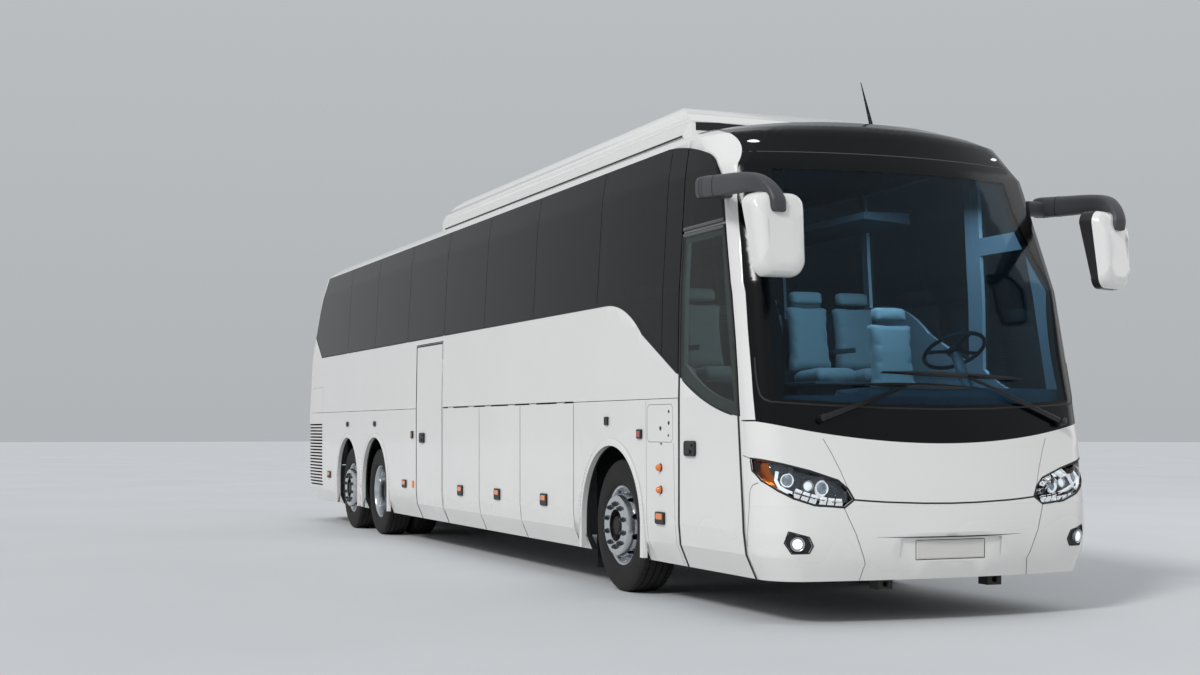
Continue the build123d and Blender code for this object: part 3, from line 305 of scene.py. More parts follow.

# Black cap over the windscreen
# A moulded roof front in black gloss enamel.
black_enamel = mottled("black_gloss_enamel", "#07090B", "#0D1013", 2.0, (0.10, 0.16), 90.0, 0.01,
                       Specular_IOR_Level=0.22)
skin("front_cap", "front_cap_skin", black_enamel, lining_grey)

# Side glass
# Bonded panes flush with the panels: dark body-tinted ones along the saloon and a paler one in
# the front door.
dark_glass = plain_glass("dark_tinted_glass", "#1E2324", 1.5, 2.0, (0.015, 0.05), 1.25,
                         Specular_IOR_Level=0.25)
for pane in ("side_glass_right", "side_glass_left", "rear_window"):
    skin(pane, pane + "_panes", dark_glass)
door_glass = plain_glass("lightly_tinted_glass", "#7E8A86", 2.5, 3.0, (0.01, 0.04), 1.25)
skin("front_door_glass", "front_door_glass_panes", door_glass)

# Windscreen
# One curved laminated screen, with a black enamel band baked on its foot, its sides and its top.
# The foot's edge rises as x squared, and the sides' edge leans back with the height.
CROWN_EDGE = 3.06
made = Finish("laminated_screen_glass")
x, y, z = made.axes()
clear = made.glass("#98C8E4", 3.0, 2.0, (0.01, 0.03), 1.22)
baked = made.surface("#06080A", 0.16, Specular_IOR_Level=0.22)
foot_edge = made.reckon("MULTIPLY_ADD", made.reckon("MULTIPLY", x, x), 0.03, 1.44)
side_edge = made.reckon("MULTIPLY_ADD", z, made.reckon("MULTIPLY_ADD", z, 0.067, -0.0222), 0.2079 + NOSE)
masked = made.reckon("LESS_THAN", z, foot_edge)
for axis, edge in ((z, CROWN_EDGE), (y, side_edge)):
    masked = made.reckon("MAXIMUM", masked, made.reckon("GREATER_THAN", axis, edge))
screen_glass = made.done(made.either(masked, clear, baked))
skin("windscreen", "windscreen_glass", screen_glass)

# Rubbers and joints
# Black rubber runs in the door and glass joints, and thin sealed seams between the panels,
# each laid on the body's own surface.
LOOKS = {
    # view: where a ray starts for a place of that view, and which way it goes
    "front": (lambda a, b: Vector((a, NOSE - 1, b)), Vector((0, 1, 0))),
    "right": (lambda a, b: Vector((-2, NOSE + a, b)), Vector((1, 0, 0))),
    "left": (lambda a, b: Vector((2, NOSE + a, b)), Vector((-1, 0, 0))),
}
SIDES = {"right": -1, "left": 1}  # each side and the sign of its x


def surface_of(*names):
    """The outer surface of some CAD nodes, to lay things on."""
    points, faces = [], []
    for name in names:
        mesh = nodes[name].data
        start = len(points)
        points += [v.co.copy() for v in mesh.vertices]
        faces += [[start + i for i in face.vertices] for face in mesh.polygons]
    return BVHTree.FromPolygons(points, faces)


def loft(rings, ring_closed=False):
    """Points and faces through rings of equal counts, with closed ends or joined end to end."""
    count = len(rings[0])
    faces = []
    for i in range(len(rings) - (not ring_closed)):
        a, b = i * count, (i + 1) % len(rings) * count
        faces += [(a + k, a + (k + 1) % count, b + (k + 1) % count, b + k) for k in range(count)]
    if not ring_closed:
        last = (len(rings) - 1) * count
        faces += [tuple(range(count)), tuple(range(last, last + count))]
    return [point for ring in rings for point in ring], faces


def mesh_of(name, shapes):
    """One mesh of several closed shapes, all facing outwards."""
    points, faces = [], []
    for some_points, some_faces in shapes:
        start = len(points)
        points += [tuple(p) for p in some_points]
        faces += [[start + i for i in face] for face in some_faces]
    mesh = bpy.data.meshes.new(name)
    mesh.from_pydata(points, [], faces)
    bm = bmesh.new()
    bm.from_mesh(mesh)
    bmesh.ops.remove_doubles(bm, verts=bm.verts, dist=0.000002)
    bmesh.ops.recalc_face_normals(bm, faces=bm.faces)
    bm.to_mesh(mesh)
    bm.free()
    return mesh


def joined(name, finish, shapes, body=static, stands_for=(), crease=CREASE):
    """Several closed shapes as one dressed piece."""
    return dress(mesh_of(name, shapes), name, finish, body, stands_for, crease)


def along(values, share):
    """A value at a share of the way through a row of values, or the one value itself."""
    if not isinstance(values, tuple):
        return values
    place = share * (len(values) - 1)
    i = min(int(place), len(values) - 2)
    return values[i] + (values[i + 1] - values[i]) * (place - i)


def strip(surface, look, path, width, proud=0.0008, sunk=0.004, bridge=0.0, step=0.02):
    """A closed ribbon laid on a surface along a path of one view.

    With a bridge it lies midway between two rays beside the path, or on the nearer of the two
    where they land more than 30 mm apart. Without one its edges follow the surface up to 20 mm.
    """
    origin, way = LOOKS[look]
    run = []
    for start, end in zip(path, path[1:]):
        start, end = Vector(start), Vector(end)
        count = max(1, math.ceil((end - start).length / step))
        run += [start.lerp(end, i / count) for i in range(count)]
    run.append(Vector(path[-1]))
    spots = []
    for i, here in enumerate(run):
        ahead = run[min(i + 1, len(run) - 1)] - run[max(i - 1, 0)]
        across = Vector((-ahead.y, ahead.x)).normalized() * bridge
        found = []
        for k in ((-1, 1) if bridge else (0,)):
            shift = origin(*(here + across * k)) - origin(*here)
            place, normal, _, _ = surface.ray_cast(origin(*here) + shift, way)
            if place is not None:
                found.append((place - shift, normal if normal.dot(way) < 0 else -normal))
        if len(found) == 2 and abs((found[0][0] - found[1][0]).dot(way)) > 0.03:
            found = [min(found, key=lambda f: f[0].dot(way))]
        if found:
            middle = sum((f[0] for f in found), Vector()) / len(found)
            spots.append((i / (len(run) - 1), middle, sum((f[1] for f in found), Vector()).normalized()))
    rings = []
    for i, (share, middle, normal) in enumerate(spots):
        ahead = spots[min(i + 1, len(spots) - 1)][1] - spots[max(i - 1, 0)][1]
        side = ahead.cross(normal).normalized() * along(width, share) / 2
        edges = []
        for edge in (middle - side, middle + side):
            near = surface.find_nearest(edge + normal * 0.012)[0]
            edges.append(near if (near - edge).length < 0.02 and not bridge else edge)
        top = along(proud, share)
        rings.append([edges[0] + normal * top * 0.6, middle + normal * top, edges[1] + normal * top * 0.6,
                      edges[1] - normal * sunk, edges[0] - normal * sunk])
    return loft(rings)


def laid(name, finish, surface, look, rows, body=static, step=0.02):
    """Ribbons on one surface as one piece: each row is a path and its width, and how proud and sunk."""
    ribbons = [strip(surface, look, path, *sizes, step=step) for path, *sizes in rows]
    joined(name, finish, ribbons, body, crease=0)


def bow(start, through, end, count=12):
    """Points on the arc through three places of a view."""
    (ax, ay), (bx, by), (cx, cy) = start, through, end
    d = 2 * (ax * (by - cy) + bx * (cy - ay) + cx * (ay - by))
    a2, b2, c2 = ax * ax + ay * ay, bx * bx + by * by, cx * cx + cy * cy
    ux = (a2 * (by - cy) + b2 * (cy - ay) + c2 * (ay - by)) / d
    uy = (a2 * (cx - bx) + b2 * (ax - cx) + c2 * (bx - ax)) / d
    radius = math.hypot(ax - ux, ay - uy)
    first = math.atan2(ay - uy, ax - ux)
    turn = math.remainder(math.atan2(cy - uy, cx - ux) - first, math.tau)
    angles = [first + turn * i / count for i in range(count + 1)]
    return [(ux + radius * math.cos(t), uy + radius * math.sin(t)) for t in angles]


def sided(path, way):
    """A front-view path, turned over to the other side where the way is -1."""
    return [(way * a, b) for a, b in path]


def spanned(path):
    """A front-view path that ends in the middle, carried on to the other side."""
    return path + sided(path[-2::-1], -1)


rubber = mottled("black_sealing_rubber", "#101112", "#1A1B1C", 6.0, (0.5, 0.7), 300.0, 0.2)
joint_grey = mottled("seam_sealer", "#7E8082", "#8E9092", 5.0, (0.5, 0.6), 200.0, 0.1)
joint_dark = mottled("shaded_joint", "#3A3B3D", "#46474A", 5.0, (0.5, 0.6), 200.0, 0.1)
bright_bar = mottled("grey_anodised_bar", "#5C5E60", "#6E7072", 4.0, (0.35, 0.45), 250.0, 0.05, Metallic=0.6)
nose = surface_of("mask", "bumper", "windscreen_pillars", "windscreen", "front_lamps")
SEAM_WIDTH = 0.005
MASK_SEAM = [(-0.877, 1.217), (-0.831, 1.127), (-0.779, 1.006), (-0.741, 0.898), (-0.711, 0.832)]
BUMPER_LIP = [(-0.713, 0.820), (-0.609, 0.811), (-0.478, 0.802), (-0.21, 0.791), (0.0, 0.788)]
SCREEN_RUBBER = [(-1.246, 1.75), (-1.25, 1.66), (-1.249, 1.562), (-1.241, 1.501), (-1.222, 1.474),
                 (-1.19, 1.458), (-1.041, 1.447), (-0.797, 1.433), (-0.605, 1.428), (-0.41, 1.418),
                 (0.0, 1.412)]
PLATE_CREASE = [(-0.562, 0.576), (-0.364, 0.571), (0.0, 0.568)]
laid("nose_seams", joint_grey, nose, "front",
     [(sided(MASK_SEAM, way), SEAM_WIDTH) for way in (1, -1)])
laid("nose_rubbers", rubber, nose, "front",
     [(spanned(BUMPER_LIP), 0.011, 0.0012, 0.006),
      (spanned(PLATE_CREASE), (0.001, 0.008, 0.009, 0.008, 0.001)),
      (spanned(SCREEN_RUBBER), 0.012, 0.003)])
crown = max(vertex.co.z for vertex in nodes["windscreen"].data.vertices) - 0.004
laid("crown_seam", joint_dark, surface_of("front_cap", "windscreen"), "front",
     [([(-1.10, crown), (1.10, crown)], 0.007)], step=0.05)
CORNER_SEAM = [(0.33, 0.930), (0.375, 0.914), (0.402, 0.885), (0.413, 0.845), (0.416, 0.762), (0.44, 0.60),
               (0.464, 0.418), (0.452, 0.30)]
LAMP_SEAM = [(0.505, 1.106), (0.40, 1.086)]
joined("corner_seams", joint_dark,
       [strip(nose, side, path, SEAM_WIDTH) for side in SIDES for path in (CORNER_SEAM, LAMP_SEAM)], crease=0)

# The side walls' seams round the service panel, the black line under the glass band, the seam
# over the hatches and the grey bars over the doors.
flank = {side: surface_of(f"side_panel_front_{side}", f"side_frame_{side}", f"side_glass_{side}",
                          f"side_panel_rear_{side}", "windscreen_pillars") for side in SIDES}
WAVE = bow((0.584, 1.365), (1.07, 1.47), (1.535, 1.667))
SILL = [(1.548, 1.674), (2.206, 1.997), *bow((2.206, 1.997), (2.56, 2.2), (2.95, 2.262))[1:],
        (13.354, 2.262), (13.88, 2.605)]
SERVICE_FLAP = [(2.06, 1.46), (2.086, 1.435), (2.086, 1.21), (2.06, 1.184), (1.65, 1.184), (1.626, 1.21),
                (1.626, 1.435), (1.65, 1.46), (2.06, 1.46)]
SIDE_SEAMS = (SERVICE_FLAP, [(2.112, 1.49), (2.10, 0.87), (2.09, 0.30)],
              [(1.612, 1.18), (1.577, 0.43), (1.575, 0.30)], [(13.25, 1.51), (13.25, 1.85), (14.05, 1.85)])
WAIST_SEAM = [(3.64, 1.5065), (7.46, 1.5065)]
HEAD_BARS = {"right": [(0.875, 2.712), (1.525, 2.712)], "left": [(0.875, 2.672), (1.52, 2.672)]}
for side in SIDES:
    laid(f"side_seams_{side}", joint_grey, flank[side], side,
         [(path, SEAM_WIDTH) for path in SIDE_SEAMS])
    lines = [strip(flank[side], side, path, 0.012, 0.0012, 0.003, 0.012)
             for path in ((SILL,) if side == "right" else (SILL, WAVE))]
    lines.append(strip(surface_of(f"side_frame_{side}"), side, WAIST_SEAM, 0.007, 0.0008, 0.001, step=0.1))
    joined(f"glass_rubber_{side}", rubber, lines, crease=0)
    laid(f"door_head_bar_{side}", bright_bar, flank[side], side,
         [(HEAD_BARS[side], 0.022, 0.003, 0.002)])

# Doors
# Black rubber guards run down both edges of each plug and swing leaf, a black line seals the
# glass, and each leaf has a black recessed handle.
front_leaf, mid_leaf = surface_of("front_door", "front_door_glass"), surface_of("mid_door")
leaf_body, mid_body = nodes["front_door"]["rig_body"], nodes["mid_door"]["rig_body"]
DOOR_EDGE = [(0.440, 0.292), (0.480, 0.73), (0.550, 1.40), (0.587, 1.675), (0.632, 1.932), (0.686, 2.192),
             (0.771, 2.457), (0.838, 2.66)]
leading = [(a + 0.0265, b) for a, b in DOOR_EDGE]
laid("front_door_rubbers", rubber, front_leaf, "right",
     [(leading, 0.027, 0.0035), ([(1.516, 0.292), (1.516, 2.66)], 0.026, 0.0035),
      ([(a, b) for a, b in WAVE if 0.62 < a < 1.5], 0.012, 0.0014, 0.002)], leaf_body)
laid("front_door_head_bar", bright_bar, front_leaf, "right",
     [([(0.87, 2.664), (1.52, 2.664)], 0.022, 0.003, 0.002)], leaf_body)
laid("mid_door_rubbers", rubber, mid_leaf, "right",
     [([(7.496, 0.292), (7.496, 2.19)], 0.012, 0.0008, 0.001),
      ([(8.488, 0.292), (8.488, 2.19)], 0.020, 0.003, 0.003),
      ([(7.5, 2.184), (8.48, 2.184)], 0.016, 0.003, 0.003)], mid_body)


def rounded(half_long, half_tall, corner, count=6):
    """A rectangle with rounded corners, about its own middle."""
    points = []
    for k, (sx, sy) in enumerate(((1, 1), (-1, 1), (-1, -1), (1, -1))):
        for i in range(count + 1):
            turn = math.pi / 2 * (k + i / count)
            points.append((sx * (half_long - corner) + corner * math.cos(turn),
                           sy * (half_tall - corner) + corner * math.sin(turn)))
    return points


def plaque(side, station, height, half_long, half_tall, corner, layers):
    """A moulding on a side wall: (distance proud, inset) rings of one rounded outline."""
    rings = []
    for proud, inset in layers:
        ring = rounded(half_long - inset, half_tall - inset, max(corner - inset, 0.002))
        x = SIDES[side] * (FLANK + proud)
        rings.append([Vector((x, NOSE + station + a, height + b)) for a, b in ring])
    return loft(rings)


def turned(profile, centre, axis, count=72):
    """A closed profile of (distance along the axis, radius) swept round the axis."""
    axis = Vector(axis).normalized()
    first = axis.orthogonal().normalized()
    second = axis.cross(first)
    rings = []
    for i in range(count):
        turn = math.tau * i / count
        out = first * math.cos(turn) + second * math.sin(turn)
        rings.append([centre + axis * a + out * r for a, r in profile])
    return loft(rings, True)


def dome(side, station, height, radius, proud, out=FLANK):
    """A round lens that bulges from a side wall."""
    profile = [(-0.004, 0.0), (-0.004, radius), (proud * 0.35, radius)]
    profile += [(proud * (0.35 + 0.65 * math.sin(t)), radius * math.cos(t))
                for t in (0.3, 0.6, 0.9, 1.2, 1.4)]
    profile.append((proud, 0.0))
    way = SIDES[side]
    return turned(profile, Vector((way * out, NOSE + station, height)), (way, 0, 0), 32)


black_moulding = mottled("black_moulded_plastic", "#0E0F10", "#1B1C1E", 8.0, (0.32, 0.45), 400.0, 0.15)
HANDLE_LAYERS = ((-0.004, 0.0), (0.016, 0.0), (0.0195, 0.004), (0.0195, 0.012), (0.0172, 0.016))
GRIP_LAYERS = ((0.012, 0.0), (0.0255, 0.001), (0.0265, 0.003))
LOCK_LAYERS = ((0.012, 0.0), (0.0225, 0.0), (0.023, 0.002))
for name, station, height, body in (("front_door_handle", 1.316, 1.142, leaf_body),
                                    ("mid_door_handle", 8.233, 1.182, mid_body)):
    joined(name, black_moulding,
           [plaque("right", station, height, 0.088, 0.055, 0.022, HANDLE_LAYERS),
            plaque("right", station + 0.02, height - 0.022, 0.045, 0.014, 0.006, GRIP_LAYERS),
            plaque("right", station - 0.035, height + 0.022, 0.011, 0.011, 0.0105, LOCK_LAYERS)], body)


# Side lamps and reflectors
# Amber lenses in black bezels, which also make the hatches' pull handles, round amber lamps,
# red lamps and small black locks on the service flap. A thin rubber closes each hatch's edge.
def lens(name, dark, light, glow):
    """A moulded lens with prisms behind a clear face and a faint glow: lamp light in a lamp, painted light in
    a reflector.
    """
    made = Finish(name)
    prisms = node(made.tree, "ShaderNodeTexVoronoi", Vector=made.place, Scale=160.0).outputs["Distance"]
    tone = made.blend(prisms, dark, light)
    return made.done(made.surface(tone, 0.16, Normal=made.relief(prisms, 0.35), Coat_Weight=1.0,
                                  Coat_Roughness=0.03, Emission_Color=tone, Emission_Strength=glow))


# The lenses glow faintly. On the amber lenses of the reflectors and the hatch pulls, which are no lamps, this
# glow is painted light.
amber = lens("amber_lens", "#C8500A", "#F28A1E", 0.12)
red = lens("red_lens", "#8E0F10", "#C4201C", 0.08)
white_lens = lens("white_lit_lens", "#E8EEF5", "#FFFFFF", 0.55)
BEZEL = ((-0.003, 0.0), (0.013, 0.0), (0.0165, 0.004), (0.0165, 0.012), (0.0148, 0.014))
GLASS_OF_BEZEL = ((0.008, 0.0), (0.0175, 0.0), (0.0195, 0.004), (0.0195, 0.008))
# Each row: station, height, half length, half height, corner radius
BEZELS = (
    (11.762, 1.34, 0.048, 0.032, 0.030), (10.343, 1.341, 0.048, 0.032, 0.030),
    (2.883, 1.343, 0.034, 0.034, 0.008), (2.221, 1.242, 0.044, 0.036, 0.008),
    (8.646, 1.215, 0.040, 0.042, 0.012),
)
FLAT_LENS = ((-0.003, 0.0), (0.010, 0.0), (0.014, 0.004))
SMALL_LENS = ((-0.002, 0.0), (0.006, 0.001), (0.007, 0.002))
REFLECTORS = ((1.835, 0.625), (8.968, 0.659), (12.83, 0.665))
FLAP_LOCKS = ((1.694, 1.407, 0.011), (1.694, 1.324, 0.014), (1.842, 1.285, 0.016), (1.70, 1.233, 0.009))
ROUND_LAMPS = ((1.841, 0.996), (1.835, 0.833))
HATCH_PULLS = {1: (4.337, 0.662), 2: (5.629, 0.662), 3: (6.817, 0.656)}
for side in SIDES:
    bezels, ambers = [], []
    for station, height in REFLECTORS:
        bezels.append(plaque(side, station, height, 0.080, 0.046, 0.018, BEZEL))
        # The reflector's amber lens carries a painted glow.
        ambers.append(plaque(side, station + 0.004, height + 0.012, 0.056, 0.022, 0.008, GLASS_OF_BEZEL))
    bezels += [plaque(side, *row, BEZEL) for row in BEZELS]
    bezels += [dome(side, *row, 0.006) for row in FLAP_LOCKS]
    for station, height in ROUND_LAMPS:
        bezels.append(dome(side, station, height, 0.031, 0.012))
        ambers.append(dome(side, station, height, 0.026, 0.034, FLANK + 0.006))
    ambers.append(plaque(side, 8.606, 0.664, 0.024, 0.040, 0.008, FLAT_LENS))
    reds = [plaque(side, 2.221, 1.242, 0.030, 0.022, 0.005, GLASS_OF_BEZEL),
            plaque(side, 8.646, 1.215, 0.026, 0.028, 0.008, GLASS_OF_BEZEL),
            plaque(side, 1.826, 1.172, 0.015, 0.007, 0.003, SMALL_LENS)]
    joined(f"side_lamp_bezels_{side}", black_moulding, bezels,
           stands_for=("side_and_tail_lamps",) if side == "right" else ())
    joined(f"side_amber_lenses_{side}", amber, ambers)
    joined(f"side_red_lenses_{side}", red, reds)
    for number, (station, height) in HATCH_PULLS.items():
        lid = nodes[f"hatch_{side}_{number}"]
        hatch = lid["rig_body"]
        name = f"hatch_pull_{side}_{number}"
        joined(name, black_moulding,
               [plaque(side, station, height, 0.080, 0.054, 0.018, BEZEL)], hatch)
        # The pull's amber lens carries a painted glow.
        joined(name + "_lens", amber,
               [plaque(side, station + 0.004, height + 0.016, 0.056, 0.022, 0.008, GLASS_OF_BEZEL)], hatch)
        ends = [vertex.co.y - NOSE for vertex in lid.data.vertices]
        edges = [min(ends) + 0.005] + ([max(ends) - 0.012] if number == 3 else [])
        laid(f"hatch_edge_rubber_{side}_{number}", rubber, surface_of(lid.name), side,
             [([(edge, 1.480), (edge, 0.300)], 0.006, 0.0006, 0.001) for edge in edges], hatch)

# Tail lamps
# Red and amber clusters in the rear corners behind clear ribbed lenses, all given the red lens finish here.
REAR_CORNERS = 6.2  # the clusters' faces lie behind this Y
dress(merged("side_and_tail_lamps", lambda face: face.calc_center_median().y > REAR_CORNERS),
      "tail_lamp_clusters", red, static)

# Headlamps and fog lamps
# Clear covers over dark reflectors with three projectors a side, an amber corner, a white light
# guide and a row of blocks; round fog lamps sit in black six-sided bezels.
cover_clear = plain_glass("polycarbonate_cover", "#F4F8FA", 9.0, 2.0, (0.0, 0.02), 1.3)
made = Finish("dark_chromed_reflector")
x, y, z = made.axes()
outward = made.reckon("MULTIPLY_ADD", z, -0.35, made.reckon("ABSOLUTE", x))
outer_corner = made.reckon("GREATER_THAN", outward, 0.85)  # the amber part behind the cover
chrome = made.blend(made.noise(30.0, 2.0), "#3B3E42", "#6A6E73")
reflector = made.done(made.surface(made.blend(outer_corner, chrome, "#C8640F"), 0.22, Metallic=0.85))
panels = surface_of("mask", "bumper", "windscreen_pillars")
LAMPS_SPLIT = 0.7  # the headlamps' solids lie above this height and the fog lamps' below


def walled(wanted, name, finish, thick, stands_for=()):
    """The chosen faces of the headlamps as a sheet, given its thickness inwards."""
    mesh = merged("front_lamps", lambda face: wanted(face) and face.calc_center_median().z > LAMPS_SPLIT)
    wall = dress(mesh, name, finish, static, stands_for, 0).modifiers.new("wall", "SOLIDIFY")
    wall.thickness = thick
    wall.offset = -1


def facing_out(face):
    """True for a face of the lamps' outer surface: it looks forwards, away from the driver's platform."""
    middle = face.calc_center_median()
    platform = Vector((0, NOSE + 1.5, middle.z))
    return face.normal.y < -0.003 and face.normal.dot((middle - platform).normalized()) > 0.5


walled(facing_out, "headlamp_covers", cover_clear, 0.003, ("front_lamps",))
walled(lambda face: not facing_out(face), "headlamp_housings", reflector, 0.002)
dress(merged("front_lamps", lambda face: face.calc_center_median().z < LAMPS_SPLIT), "fog_lamp_bezels",
      black_moulding, static)
HEADLAMP = [(0.713, 0.822), (0.776, 0.777), (0.975, 0.793), (1.110, 0.838), (1.190, 0.885), (1.262, 0.948),
            (1.288, 1.010), (1.290, 1.080), (1.180, 1.052), (0.990, 1.003), (0.805, 0.940), (0.745, 0.885),
            (0.713, 0.822)]
FOG_RIM = [(1.000, 0.525), (1.028, 0.578), (1.150, 0.612), (1.168, 0.545), (1.128, 0.480), (1.022, 0.482),
           (1.000, 0.525)]


def widened(outline, by):
    """A closed outline moved outwards, corner by corner."""
    corners = [Vector(point) for point in outline[:-1]]
    middle = sum(corners, Vector((0, 0))) / len(corners)
    moved = []
    for i, corner in enumerate(corners):
        after = corners[(i + 1) % len(corners)]
        edges = [(corner - corners[i - 1]).normalized(), (after - corner).normalized()]
        normals = [Vector((edge.y, -edge.x)) for edge in edges]
        normals = [normal if normal.dot(corner - middle) > 0 else -normal for normal in normals]
        mitre = (normals[0] + normals[1]).normalized()
        moved.append(corner + mitre * by / max(mitre.dot(normals[0]), 0.5))
    return [tuple(point) for point in (*moved, moved[0])]


CORNER_REACH = 1.2965  # the furthest out that a front view still meets the corner panel
GASKETS = (
    # path, width, how deep it is sunk
    ([(min(a, CORNER_REACH), b) for a, b in widened(HEADLAMP, 0.006)], 0.013, 0.010),
    (widened(FOG_RIM, 0.004), 0.009, 0.008),
)
laid("lamp_gaskets", rubber, panels, "front",
     [(sided(path, way), width, 0.003, sunk) for way in (1, -1) for path, width, sunk in GASKETS])

lamp_front = surface_of("front_lamps")
chromed = mottled("satin_chromed_ring", "#A9ADB1", "#C6CACE", 12.0, (0.22, 0.32), 200.0, 0.02, Metallic=0.75)
clear_eye = mottled("projector_eye", "#4E565E", "#C9D2DA", 45.0, (0.02, 0.05), 200.0, 0.0, Coat_Weight=1.0)
PROJECTORS = (
    # x, height, radius, how deep behind the cover, and whether its ring is lit instead of its eye
    (1.133, 0.949, 0.043, 0.016, True), (0.999, 0.912, 0.036, 0.014, False),
    (0.909, 0.896, 0.043, 0.016, True),
    (1.096, 0.538, 0.047, -0.012, False),  # the fog lamp
)
GUIDE = [(1.212, 1.036), (1.188, 1.006), (1.20, 0.95), (1.184, 0.907), (1.150, 0.882), (1.100, 0.862)]
BLOCK_STARTS = (1.085, 1.035, 0.985, 0.925, 0.875, 0.825)
BLOCK_LONG = 0.04


def front_spot(surface, x, height):
    """The place on a surface seen from the front, and the way out of it."""
    place, normal, _, _ = surface.ray_cast(Vector((x, NOSE - 1, height)), Vector((0, 1, 0)))
    return place, normal if normal.y < 0 else -normal


def block_place(x):
    """A place of the row of white blocks, which curves up outwards."""
    run = x - 0.78
    return x, 0.818 + 0.02 * run + 0.7 * run ** 2


eyes, lit_eyes, chrome_rings, lit_rings, guides = [], [], [], [], []
for way in (1, -1):
    for x, height, radius, depth, ring_lit in PROJECTORS:
        place, normal = front_spot(lamp_front, way * x, height)
        seat = place - normal * depth
        inner, bulb = radius * 0.82, radius * 0.74
        (lit_rings if ring_lit else chrome_rings).append(turned(
            ((-0.02, inner), (-0.02, radius), (0.004, radius), (0.007, radius * 0.96), (0.004, radius * 0.86),
             (-0.004, inner)), seat, normal, 48))
        bulge = [(0.012 * math.sin(t) - 0.004, bulb * math.cos(t)) for t in (0.0, 0.3, 0.6, 0.9, 1.2)]
        (eyes if ring_lit else lit_eyes).append(turned(
            ((-0.02, 0.0), (-0.02, bulb), *bulge, (0.008, 0.0)), seat, normal, 40))
    guide = GUIDE[2:] if way > 0 else GUIDE[1:]
    guides.append(strip(lamp_front, "front", sided(guide, way), 0.022, -0.008, 0.02))
    for start in BLOCK_STARTS:
        block = [block_place(start), block_place(start - BLOCK_LONG)]
        guides.append(strip(lamp_front, "front", sided(block, way), 0.016, -0.004, 0.02))
for name, finish, shapes in (
        ("projector_rings", chromed, chrome_rings), ("projector_eyes", clear_eye, eyes),
        ("lit_projector_eyes", white_lens, lit_eyes), ("light_rings", white_lens, lit_rings),
        ("light_guides", white_lens, guides)):
    joined(name, finish, shapes)

# Number plate and cap markers
# A blank plate held in the bumper's recess, and two white marker lamps let into the black cap.
plate_white = mottled("blank_plate", "#CFCCC8", "#DAD7D3", 5.0, (0.55, 0.65), 260.0, 0.05)
PLATE_Y, PLATE_Z = NOSE + 0.0375, 0.484
PLATE_LAYERS = ((0.0, 0.0), (0.005, 0.0), (0.0065, 0.002), (0.0065, 0.007), (0.0055, 0.009))
plate_rings = [[Vector((a, PLATE_Y - proud, PLATE_Z + b))
                for a, b in rounded(0.26 - inset, 0.055 - inset, 0.01)] for proud, inset in PLATE_LAYERS]
plate_edge = [(-0.268, 0.420), (0.268, 0.420), (0.268, 0.548), (-0.268, 0.548), (-0.268, 0.420)]
laid("plate_shadow_gap", rubber, panels, "front", [(plate_edge, 0.005, 0.001)])
joined("number_plate", plate_white, [loft(plate_rings)])
joined("cap_markers", white_lens,
       [strip(surface_of("front_cap"), "front", [(x - 0.036, z - slope), (x + 0.036, z + slope)],
              (0.006, 0.020, 0.024, 0.020, 0.006), (0.002, 0.008, 0.009, 0.008, 0.002), step=0.008)
        for x, z, slope in ((-1.005, 3.267, -0.002), (0.943, 3.25, 0.004))])

# Roof pod
# Black strips under the pod's front lip, painted shade in its recess, and a rubber line round its foot.
WIDE_LIP_SHADE, SLIM_LIP_SHADE = (0.06, 0.065, 0.035, 0.008), (0.004, 0.022, 0.004)
OUTER_LIP_SHADE = [(-1.02, 3.525), (-0.80, 3.530), (-0.42, 3.552)]
laid("pod_intakes", black_moulding, surface_of("roof_pod"), "front",
     [(OUTER_LIP_SHADE, WIDE_LIP_SHADE, 0.002, 0.01), ([(-0.20, 3.556), (0.12, 3.556)], SLIM_LIP_SHADE, 0.002, 0.01),
      (sided(OUTER_LIP_SHADE, -1), WIDE_LIP_SHADE, 0.002, 0.01)])
POD_FOOT = [(2.0, 3.475), (8.2, 3.475)]
roof_side = surface_of("roof_pod", "roof")
joined("pod_foot_rubber", rubber,
       [strip(roof_side, side, POD_FOOT, 0.014, 0.003, 0.006, step=0.2) for side in SIDES], crease=0)

# Mirrors
# Hollow arms of dark satin plastic leave the arches sideways, run forwards and droop into white
# shells, which hold the glasses in a black rim towards the driver.
satin_grey = mottled("dark_satin_plastic", "#38393C", "#454649", 3.0, (0.38, 0.5), 500.0, 0.12)
silvered = mottled("mirror_glass", "#C9CED2", "#D6DADD", 2.0, (0.01, 0.03), 50.0, 0.0, Metallic=1.0)
ARM_SECTIONS = (
    # x, station, height, tilt down in degrees, width, depth
    (1.385, 0.985, 2.922, 0, 0.020, 0.060), (1.386, 0.975, 2.923, 0, 0.070, 0.125),
    (1.388, 0.925, 2.926, 0, 0.095, 0.150), (1.388, 0.620, 2.902, 0, 0.095, 0.144),
    (1.385, 0.330, 2.880, 6, 0.095, 0.132), (1.368, 0.160, 2.852, 30, 0.097, 0.122),
    (1.342, 0.055, 2.795, 58, 0.102, 0.114), (1.326, 0.000, 2.735, 84, 0.108, 0.104),
    (1.322, -0.008, 2.690, 88, 0.110, 0.098), (1.320, -0.009, 2.655, 90, 0.100, 0.090),
    (1.320, -0.006, 2.648, 90, 0.060, 0.060),
)
ARM_JOINTS = (0.90, 0.86, 0.70)  # stations of the rings round the arm's straight run
FOOT_XS = (1.222, 1.262, 1.30, 1.36)  # the foot runs out through the arch
HEAD_X, HEAD_Z = 1.300, 2.515
HEAD_YAW = {-1: 0.0, 1: math.radians(20)}  # the driver's own head looks in
RIM_FROM = {-1: 5, 1: 4}  # the section where the black rim starts
